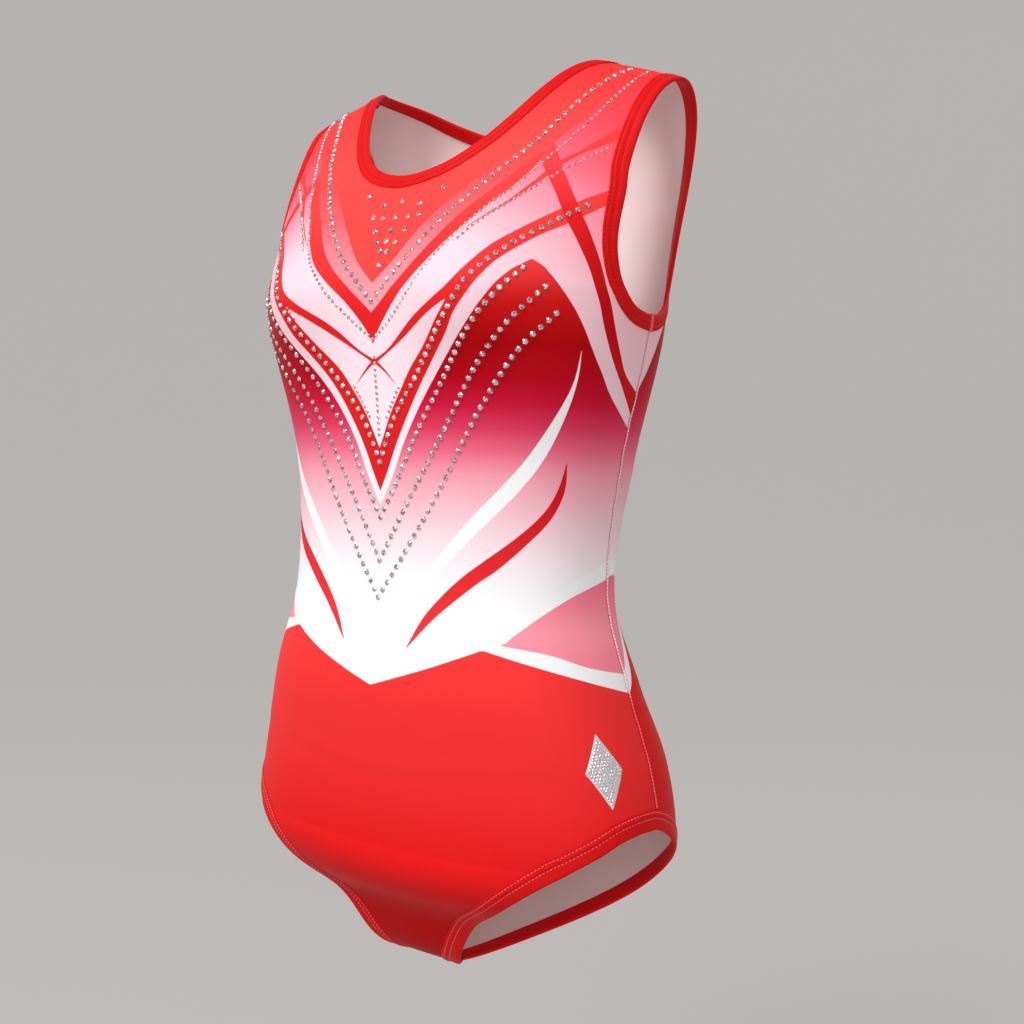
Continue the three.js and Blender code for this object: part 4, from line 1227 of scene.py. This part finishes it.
def row_frames(kind, inset, pitch, height, mirror):
    """Frames for stitches every pitch along a line at this inset from an edge."""
    places, steps = closed_edge(kind)
    at = places + steps * inset
    at = np.concatenate([at, at[:1]])
    points = form(at[:, 0], at[:, 1])
    run = run_along(points)
    count = int(round(run[-1] / pitch))
    mid = (np.arange(count) + 0.5) * run[-1] / count
    k = np.clip(np.searchsorted(run, mid) - 1, 0, len(at) - 2)
    t = ((mid - run[k]) / (run[k + 1] - run[k]))[:, None]
    a, b = at[k], at[k + 1]
    jump = np.abs(b[:, 0] - a[:, 0]) > 20  # across a shoulder, crotch or centre-back seam the angle jumps
    b = np.where(jump[:, None], a, b)
    place = a * (1 - t) + b * t
    wide = laid(place[:, 0], place[:, 1], height)
    out = axes(place[:, 0], place[:, 1])[2]
    straight = (points[k + 1] - points[k]) / (run[k + 1] - run[k])[:, None]
    ahead = straight - out * (straight * out).sum(1, keepdims=True)
    ahead /= np.linalg.norm(ahead, axis=1, keepdims=True)
    wide = np.where(jump[:, None], (points[k] * (1 - t) + points[k + 1] * t + out * height) * UNIT, wide)
    across = np.cross(out, ahead)
    if mirror:
        flip = np.array([-1.0, 1, 1])
        return wide * flip, ahead * flip * UNIT, -across * flip * UNIT, out * flip * UNIT
    return wide, ahead * UNIT, across * UNIT, out * UNIT


def join_sets(sets):
    """Several (points, [faces, faces]) sets as one, with the indices shifted."""
    points, quads, triangles, shift = [], [], [], 0
    for p, (q, t) in sets:
        points.append(p)
        quads.append(q + shift)
        triangles.append(t + shift)
        shift += len(p)
    return np.concatenate(points), [np.concatenate(quads), np.concatenate(triangles)]


def build_band(kind, label):
    """One binding or hem with its two rows of stitches."""
    p = bpy.context.scene.leotard_cut
    hem, mirror = kind == "leg", label == "_right"
    width = p.hem_width if hem else p.binding_width
    first = p.needle_inset + (1.7 if hem else 0)
    second = first + p.needle_gap - (0 if hem else 0.3)
    profile = band_profile(width, first, second, hem)
    points, faces, uv = band_surface(kind, profile, mirror)
    word = {"neck": "neck_binding", "arm": "armhole_binding", "leg": "leg_hem"}[kind]
    cad = word + label
    new_piece(cad + "_cloth", points, faces, [cad], [material("binding_red")], uv=uv)
    half = (p.stitch_pitch * 0.34, p.thread_thick / 2, p.thread_thick / 2)
    sink = 0.3 if hem else 0.5
    sets = [
        along(row_frames(kind, inset, p.stitch_pitch, sink + 0.2, mirror), stitch_shape(), half)
        for inset in (first, second)
    ]
    points, faces = join_sets(sets)
    stitched = {"neck": "neck_topstitch", "arm": "armhole_topstitch", "leg": "leg_topstitch"}[kind] + label
    new_piece(
        stitched + "_stitches", points, faces, [stitched],
        [material("hem_thread" if hem else "red_thread")],
    )
    elastic = {"neck": "neck_elastic", "arm": "armhole_elastic", "leg": "leg_elastic"}[kind] + label
    strip = np.array([
        (0.75, -0.72), (0.75, -0.08), (1.2, -0.02), (3.7, -0.02), (4.1, -0.08), (4.1, -0.72), (3.7, -0.78),
        (1.2, -0.78),
    ])
    points, faces, uv = band_surface(kind, strip, mirror)
    new_piece(elastic + "_braid", points, faces, [elastic], [material("braided_elastic")], uv=uv)


# ---- stones ---------------------------------------------------------------------------------------
YOKE_ROW = [
    (39, 560), (36.7, 531), (34, 500), (31.1, 465), (28, 441), (22.5, 410), (17, 387), (10.8, 365), (5, 350),
    (0, 338),
]
BAND_ROW = [
    (43.4, 563), (42.7, 535), (41, 500), (37.6, 459), (32, 415), (27.2, 395), (20.3, 365), (12, 340), (5, 324),
    (0, 315),
]
ARM_ROW = [(48.4, 458), (41.1, 431), (34.4, 406), (28, 386), (24.5, 373)]
CHEVRON_ROW = [
    (51.5, 401), (45.1, 387), (37.5, 370), (31.7, 353), (26, 331), (20, 312), (12, 287), (5.5, 266), (0, 240),
]
LEAF_ROWS = [
    [(41.9, 355), (33, 328), (24, 297), (14, 261), (6, 227), (0, 206)],
    [(47.7, 344), (40, 325), (30, 293), (20, 252), (9, 211), (0, 179)],
    [(50.8, 329), (42, 308), (32, 272), (21, 224), (10, 186), (0, 156)],
]
CENTRE_ROW = [(0, 304), (0, 280), (0, 257)]
INNER_ROW = [(7.8, 286), (5.6, 278), (3.2, 268)]
YOKE_CLUSTER = [
    (-8.7, 409), (-2.8, 400), (2.7, 402), (8.4, 399), (13.3, 411), (-4.7, 391), (-1.6, 390), (2.4, 390),
    (6.3, 390),
    (9.5, 391), (-2.6, 381), (2.2, 381), (6.8, 381), (-1, 374), (1.9, 374), (4.8, 373), (0.7, 368), (2.9, 367),
    (1.4, 359),
]


def row_places(points, pitch, mirror):
    """Even places every pitch along a drawn row, with its mirror image past the centre if asked."""
    line = smooth_line(points, 400)
    run = run_along(form(line[:, 0], line[:, 1]))
    count = max(1, int(round(run[-1] / pitch)))
    at = np.linspace(0, run[-1], count + 1)
    row = np.stack([np.interp(at, run, line[:, 0]), np.interp(at, run, line[:, 1])], 1)
    return np.concatenate([row, row[-2::-1] * [-1, 1]]) if mirror else row


def set_stones(name, places, diameters, replaces, seed, lift=0.0, cut="foiled_stone"):
    """Stones at places: the template scaled to each diameter, turned and tipped a little at random,
    with a random painted shade on each face, standing in for dark reflections and bright glints."""
    random = np.random.default_rng(seed)
    count = len(places)
    turn = random.uniform(0, math.pi / 4, count)
    origin, x, y, z = frames_on(
        places[:, 0], places[:, 1], np.ones(count), np.zeros(count), np.full(count, 0.02 + lift),
    )
    c, s = np.cos(turn)[:, None], np.sin(turn)[:, None]
    x, y = x * c + y * s, y * c - x * s
    tip = random.normal(0, 0.07, (count, 2))
    z = z + x * tip[:, :1] + y * tip[:, 1:]
    radius = (np.broadcast_to(diameters, count) * random.uniform(0.96, 1.04, count) / 2)[:, None]
    points, faces = along((origin, x * radius, y * radius, z * radius), stone_shape())
    # A painted reflection for each face of each stone, from dark to a bright glint.
    shade = random.beta(0.8, 0.7, sum(len(f) for f in faces))
    return new_piece(
        name, points, faces, replaces, [material(cut)], smooth=False, face_fields={"facet_glint": shade},
    )


class LeotardOperator:
    """What every operator here shares."""

    bl_options = {"REGISTER", "UNDO"}


class LEOTARD_OT_stage(LeotardOperator, bpy.types.Operator):
    """Makes the camera, the curved paper floor and backdrop, and the soft lights"""

    bl_idname = "leotard.stage"
    bl_label = "Stage"

    def execute(self, context):
        build_stage(context.scene.leotard_stage)
        return {"FINISHED"}


class LEOTARD_OT_panels(LeotardOperator, bpy.types.Operator):
    """Makes the printed front and back panels"""

    bl_idname = "leotard.panels"
    bl_label = "Printed panels"

    def execute(self, context):
        build_panel("front")
        build_panel("back")
        return {"FINISHED"}


class LEOTARD_OT_bands(LeotardOperator, bpy.types.Operator):
    """Makes the neck and armhole bindings and the leg hems, with stitches and elastics"""

    bl_idname = "leotard.bands"
    bl_label = "Bindings and hems"

    def execute(self, context):
        build_band("neck", "")
        for label in ("_left", "_right"):
            build_band("arm", label)
            build_band("leg", label)
        return {"FINISHED"}


class LEOTARD_OT_seams(LeotardOperator, bpy.types.Operator):
    """Makes the side, shoulder and crotch seams with their overlock threads"""

    bl_idname = "leotard.seams"
    bl_label = "Seams"

    def execute(self, context):
        build_seams()
        return {"FINISHED"}


class LEOTARD_OT_inside(LeotardOperator, bpy.types.Operator):
    """Makes the gusset lining and the blank care label"""

    bl_idname = "leotard.inside"
    bl_label = "Lining and label"

    def execute(self, context):
        build_inside()
        return {"FINISHED"}


class LEOTARD_OT_stones(LeotardOperator, bpy.types.Operator):
    """Sets the rows of stones, the cluster on the yoke and the kite on the hip"""

    bl_idname = "leotard.stones"
    bl_label = "Stones"

    def execute(self, context):
        build_stones()
        return {"FINISHED"}


def side_line(sign, low=30.5, high=321.0, count=240):
    """Places down a side seam between the hem and the binding."""
    return np.stack([np.full(count, 90.0 * sign), np.linspace(low, high, count)], 1)


def line_frames(places, pitch, height):
    """Frames every pitch along a line of places."""
    run = run_along(form(places[:, 0], places[:, 1]))
    count = max(2, int(round(run[-1] / pitch)))
    mid = (np.arange(count) + 0.5) * run[-1] / count
    angle, level = np.interp(mid, run, places[:, 0]), np.interp(mid, run, places[:, 1])
    step = 0.3
    da = np.interp(mid + step, run, places[:, 0]) - np.interp(mid - step, run, places[:, 0])
    dl = np.interp(mid + step, run, places[:, 1]) - np.interp(mid - step, run, places[:, 1])
    return frames_on(angle, level, da, dl, np.full(count, float(height)))


def seam_bed(places_at, half, low, high):
    """A soft seam allowance: a flattened oval profile carried along rows of places."""
    turn = np.linspace(0, 2 * math.pi, 13)[:-1]
    across = half * np.sign(np.cos(turn)) * np.abs(np.cos(turn)) ** 0.5
    height = (low + high) / 2 + (high - low) / 2 * np.sign(np.sin(turn)) * np.abs(np.sin(turn)) ** 0.7
    angle, level = places_at(across)
    return capped_tube(laid(angle, level, np.broadcast_to(height, angle.shape)))


def build_seams():
    """Side seams: a pale stitched line outside and an overlocked allowance inside, whose loops cross it
    every two millimetres. Shoulder and crotch seams: allowances with loops, inside only."""
    p = bpy.context.scene.leotard_cut
    inside_low, inside_high = -p.cloth_thick - 1.25, -p.cloth_thick - 0.12
    for label, sign in (("_left", 1), ("_right", -1)):
        line = side_line(sign)
        frames_at = line_frames(line, 2.3, 0.34)
        points, faces = along(frames_at, stitch_shape(), (1.12, 0.62, 0.4))
        new_piece(
            f"side_topstitch{label}_stitches", points, faces, [f"side_topstitch{label}"],
            [material("pale_thread")],
        )

        def beside(across, line=line):
            angle = np.repeat(line[:, :1], len(across), 1)
            level = np.repeat(line[:, 1:], len(across), 1)
            return moved(angle, level, across[None], 0.0)

        bed = seam_bed(beside, 3.3, inside_low, inside_high)
        origin, ahead, across, out = line_frames(line, 2.0, inside_low + 0.05)
        loops = along((origin, across, ahead, -out), stitch_shape(), (3.4, 0.24, 0.24))
        points, faces = join_sets([bed, loops])
        new_piece(
            f"side_seam{label}_overlock", points, faces, [f"side_seam{label}"],
            [material("red_thread")],
        )
        build_bridge(f"shoulder_seam{label}", sign, SHOULDER - 3.5, FRONT_POWER, (inside_low, inside_high))
        level = 332.6 - 1.25 * np.arange(9)
        tack = frames_on(np.full(9, 90.0 * sign), level, np.ones(9), np.zeros(9), np.full(9, 1.05))
        points, faces = along(tack, stitch_shape(), (1.5, 0.56, 0.6))
        new_piece(
            f"underarm_bartack{label}_stitches", points, faces, [], [material("hem_thread")],
        )
    build_bridge("crotch_seam", 0, CROTCH + 3.5, CROTCH_POWER, (inside_low - 0.5, inside_high - 0.1))


def build_bridge(name, sign, level, power, heights):
    """A seam allowance that joins a front place to the back place beside it, across the ridge or the
    gully between them, with overlock loops over it."""
    if sign:
        first = moved(np.array([NECK_SHOULDER]), np.array([level]), 11.0, 0.0)[0][0]
        last = moved(np.array([ARM_SHOULDER]), np.array([level]), -11.0, 0.0)[0][0]
    else:
        last = moved(np.array([CROTCH_ANGLE]), np.array([level]), -12.5, 0.0)[0][0]
        first = -last
    count = 40
    angle = np.linspace(first, last, count) * (sign or 1)
    front = laid(angle, level, 0)
    back_at = np.sign(angle + 1e-9) * back_angle(np.maximum(np.abs(angle), 0.05), power)
    back = laid(back_at, level, 0)
    out_front, out_back = axes(angle, np.full(count, level))[2], axes(back_at, np.full(count, level))[2]
    low, high = heights
    under = [front + out_front * low * UNIT, back + out_back * low * UNIT]
    over = [front + out_front * high * UNIT, back + out_back * high * UNIT]
    share = np.linspace(0, 1, 6)[None, :, None]
    bow = (np.sin(np.linspace(0, math.pi, 6)) * 0.25 * UNIT)[None, :, None]
    middle = (out_front + out_back)[:, None]
    middle /= np.linalg.norm(middle, axis=-1, keepdims=True)
    lower = under[0][:, None] * (1 - share) + under[1][:, None] * share + middle * bow
    upper = over[0][:, None] * (1 - share) + over[1][:, None] * share + middle * bow
    bed = capped_tube(np.concatenate([lower, upper[:, ::-1]], 1))
    pick = np.arange(0, count, 2)
    origin = (under[0][pick] + under[1][pick]) / 2 + middle[pick, 0] * 0.2 * UNIT
    across = under[1][pick] - under[0][pick]
    reach_mm = np.linalg.norm(across, axis=1).mean() / UNIT
    across /= np.linalg.norm(across, axis=1, keepdims=True)
    out = middle[pick, 0]
    ahead = np.cross(out, across)
    loops = along(
        (origin, across * UNIT, -ahead * UNIT, -out * UNIT), stitch_shape(), (reach_mm / 2, 0.24, 0.24),
    )
    points, faces = join_sets([bed, loops])
    new_piece(f"{name}_overlock", points, faces, [name], [material("red_thread")])


GUSSET_SHARE = 0.37  # how much of the leg edge, from the crotch, the gusset lining follows
LABEL_AT, LABEL_SIZE = (91.5, 150.0), (24.0, 42.0)


def build_inside():
    """The gusset lining between the leg hems, and a blank label folded from satin ribbon and sewn in."""
    p = bpy.context.scene.leotard_cut
    places, steps = EDGES["leg_front"]
    edge = (places + steps * (p.hem_width + 1.6))[::-1][: int(len(places) * GUSSET_SHARE)]
    level = np.maximum(edge[:, 1], CROTCH + 5.2 + 0.02 * np.arange(len(edge)))
    share = np.linspace(-1, 1, 41)
    angle = edge[:, :1] * share[None]
    level = np.repeat(level[:, None], 41, 1)
    top = -p.cloth_thick - 1.25
    points, faces = grid_shell(laid(angle, level, top), laid(angle, level, top - 0.5))
    uv = cloth_uv(angle.ravel(), level.ravel())
    new_piece(
        "gusset_lining_cloth", points, faces, ["gusset_lining"], [material("lining_cloth")],
        uv=np.concatenate([uv, uv]),
    )
    u, v = np.meshgrid(np.linspace(0, 1, 13), np.linspace(0, 1, 25), indexing="ij")
    angle, level = moved(
        np.full(u.shape, LABEL_AT[0]), np.full(u.shape, LABEL_AT[1]), u * LABEL_SIZE[0], v * LABEL_SIZE[1],
    )
    lift = -p.cloth_thick - 1.5 - 0.5 * u**2 - 0.12 * np.sin(3 * math.pi * v) * u
    points, faces = grid_shell(laid(angle, level, lift), laid(angle, level, lift - 0.35))
    new_piece("care_label_ribbon", points, faces, ["care_label"], [material("label_satin")])


def build_stones():
    """Every row of stones, the loose cluster on the yoke, and the kite on the left hip."""
    p = bpy.context.scene.leotard_stones
    rows = [
        ("stone_row_yoke", YOKE_ROW, p.large, p.large_pitch, True),
        ("stone_row_band", BAND_ROW, p.small, p.small_pitch, True),
        ("stone_row_chevron", CHEVRON_ROW, p.large, p.large_pitch, True),
        ("stone_row_leaf_1", LEAF_ROWS[0], p.large, p.large_pitch, True),
        ("stone_row_leaf_2", LEAF_ROWS[1], p.large, p.large_pitch, True),
        ("stone_row_leaf_3", LEAF_ROWS[2], p.large, p.large_pitch, True),
        ("stone_row_centre", CENTRE_ROW, p.small, p.small_pitch, False),
    ]
    for label, sign in (("_left", 1), ("_right", -1)):
        rows.append((
            f"stone_row_armhole{label}", [(a * sign, v) for a, v in ARM_ROW], p.small, p.small_pitch, False,
        ))
        rows.append((
            f"stone_row_inner{label}", [(a * sign, v) for a, v in INNER_ROW], p.small, p.small_pitch, False,
        ))
    for seed, (name, line, diameter, pitch, mirror) in enumerate(rows):
        set_stones(name + "_stones", row_places(line, pitch, mirror), diameter, [name], seed + 3)
    set_stones("yoke_cluster_stones", np.array(YOKE_CLUSTER, float), p.large, ["stone_film_yoke"], 41)
    build_kite(p)


KITE_AT, KITE_HALF_WIDE, KITE_HALF_HIGH = (66.0, 59.0), 13.0, 23.0
KITE_STEP = (2.15, 1.95)  # between the kite's stones, across and up


def kite_places(x, y):
    """Places this many mm across and up from the middle of the kite."""
    angle, level = moved(np.full(y.shape, KITE_AT[0]), np.full(y.shape, KITE_AT[1]), 0.0, y)
    return moved(angle, level, x, 0.0)


def build_kite(p):
    """The hip motif: a silver kite cut from transfer film, and small stones in rows that fill it."""
    rows, columns = 41, 21
    v, u = np.meshgrid(np.linspace(-1, 1, rows), np.linspace(-1, 1, columns), indexing="ij")
    wide = KITE_HALF_WIDE * (1 - 0.985 * np.abs(v))
    angle, level = kite_places(u * wide, v * KITE_HALF_HIGH)
    edge = np.minimum(1, 4 * (1 - np.abs(u)))
    points, faces = grid_shell(laid(angle, level, 0.12 + 0.18 * edge), laid(angle, level, 0.03))
    new_piece("hip_kite_film", points, faces, ["hip_motif"], [material("silver_backing")])
    across, up = np.meshgrid(np.arange(-6, 7), np.arange(-11, 12), indexing="ij")
    x, y = (across + 0.5 * (up % 2)) * KITE_STEP[0], up * KITE_STEP[1]
    inside = np.abs(x) / 11.6 + np.abs(y) / 20.6 < 1
    x, y = x[inside].astype(float), y[inside].astype(float)
    set_stones(
        "hip_kite_stones", np.stack(kite_places(x, y), 1), p.small * 0.74, [], 77, lift=0.3, cut="clear_stone",
    )


# ---- the stage --------------------------------------------------------------------------------------
def soft_light(name, place, target, size, watts, colour=(1, 1, 1)):
    """A square area light at a place, facing a target."""
    data = bpy.data.lights.new(name, "AREA")
    data.shape, data.size, data.energy, data.color = "SQUARE", size, watts, colour
    lamp = bpy.data.objects.new(name, data)
    lamp.location = place
    lamp.rotation_euler = (Vector(target) - Vector(place)).to_track_quat("-Z", "Y").to_euler()
    bpy.context.scene.collection.objects.link(lamp)


LOOK_AT = (40.8, 0, -291.1)  # the middle of the view, in mm
FLOOR_FLAT, FLOOR_BEND, WALL_TOP = 3.0, 2.2, 3.6  # the paper bowl's flat radius, bend radius and height, in m


def build_stage(p):
    """The camera at its turn, pitch, roll and distance; a paper bowl, flat in the middle and curving up
    all round; and four soft lights."""
    back = Vector((
        math.sin(p.turn) * math.cos(p.pitch), -math.cos(p.turn) * math.cos(p.pitch), math.sin(p.pitch),
    ))
    right = Vector((math.cos(p.turn), math.sin(p.turn), 0))
    up = back.cross(right)
    c, s = math.cos(p.roll), math.sin(p.roll)
    right, up = c * right + s * up, c * up - s * right
    data = bpy.data.cameras.new("studio_camera")
    data.lens, data.sensor_width = p.lens, 36.0
    data.clip_start, data.clip_end = 0.05, 60
    camera = bpy.data.objects.new("studio_camera", data)
    target = Vector([v * UNIT for v in LOOK_AT])
    camera.matrix_world = Matrix.Translation(
        target + back * p.distance
    ) @ Matrix((right, up, back)).transposed().to_4x4()
    bpy.context.scene.collection.objects.link(camera)
    bpy.context.scene.camera = camera

    floor_level = CAD_LOW.z - 0.3
    bend = np.linspace(0, math.pi / 2, 17)[1:]
    radius = np.concatenate([
        np.linspace(0.001, FLOOR_FLAT, 12), FLOOR_FLAT + FLOOR_BEND * np.sin(bend), [FLOOR_FLAT + FLOOR_BEND],
    ])
    height = np.concatenate([np.zeros(12), FLOOR_BEND * (1 - np.cos(bend)), [WALL_TOP]])
    turn = np.linspace(0, 2 * math.pi, 65)[:-1]
    points = np.stack([
        radius[:, None] * np.cos(turn), radius[:, None] * np.sin(turn),
        np.repeat(height[:, None], 64, 1) + floor_level,
    ], -1).reshape(-1, 3)
    mesh = bpy.data.meshes.new("paper_floor")
    mesh.from_pydata(points.tolist(), [], grid_faces(len(radius), 64, close_columns=True).tolist())
    mesh.polygons.foreach_set("use_smooth", np.ones(len(mesh.polygons), bool))
    mesh.materials.append(material("studio_paper"))
    floor = bpy.data.objects.new("paper_floor", mesh)
    bpy.context.scene.collection.objects.link(floor)

    middle = (0, 0, -0.3)
    soft_light("key_light", (-0.2, -1.55, 1.6), middle, 1.0, 50 * p.power, (0.98, 0.99, 1))
    soft_light("camera_fill", (1.7, -2.0, 0.7), middle, 1.6, 19 * p.power, (0.98, 0.99, 1))
    soft_light("left_fill", (-2.3, -1.0, 0.5), middle, 1.5, 7 * p.power)
    soft_light("back_fill", (0.4, 2.2, 1.6), middle, 1.8, 16 * p.power)
    world = bpy.data.worlds.new("studio_air")
    world.use_nodes = True
    world.node_tree.nodes["Background"].inputs[0].default_value = (0.98, 0.98, 0.97, 1)
    world.node_tree.nodes["Background"].inputs[1].default_value = 0.22 * p.power
    bpy.context.scene.world = world
    bpy.context.scene.view_settings.view_transform = "Standard"


# ---- the panel in the sidebar ------------------------------------------------------------------------
OPERATORS = (
    LEOTARD_OT_stage, LEOTARD_OT_panels, LEOTARD_OT_bands, LEOTARD_OT_seams, LEOTARD_OT_inside,
    LEOTARD_OT_stones,
)
GROUPS = {
    "leotard_finish": LeotardFinish, "leotard_cut": LeotardCut, "leotard_stones": LeotardStones,
    "leotard_stage": LeotardStage,
}


class VIEW3D_PT_leotard(bpy.types.Panel):
    """Lists the settings and the operators that build the leotard"""

    bl_label = "Leotard"
    bl_space_type = "VIEW_3D"
    bl_region_type = "UI"
    bl_category = "Leotard"

    def draw(self, context):
        for key, kind in GROUPS.items():
            box = self.layout.box()
            box.label(text=kind.__doc__)
            for name in kind.__annotations__:
                box.prop(getattr(context.scene, key), name)
        for operator in OPERATORS:
            self.layout.operator(operator.bl_idname)


CLASSES = (*GROUPS.values(), *OPERATORS, VIEW3D_PT_leotard)


def register():
    for kind in CLASSES:
        bpy.utils.register_class(kind)
    for key, kind in GROUPS.items():
        setattr(bpy.types.Scene, key, bpy.props.PointerProperty(type=kind))


def unregister():
    for key in GROUPS:
        delattr(bpy.types.Scene, key)
    for kind in reversed(CLASSES):
        bpy.utils.unregister_class(kind)


def main():
    """Registers the classes and builds every piece in order."""
    register()
    bpy.ops.leotard.stage()
    bpy.ops.leotard.panels()
    bpy.ops.leotard.bands()
    bpy.ops.leotard.seams()
    bpy.ops.leotard.inside()
    bpy.ops.leotard.stones()


if __name__ == "__main__":
    main()
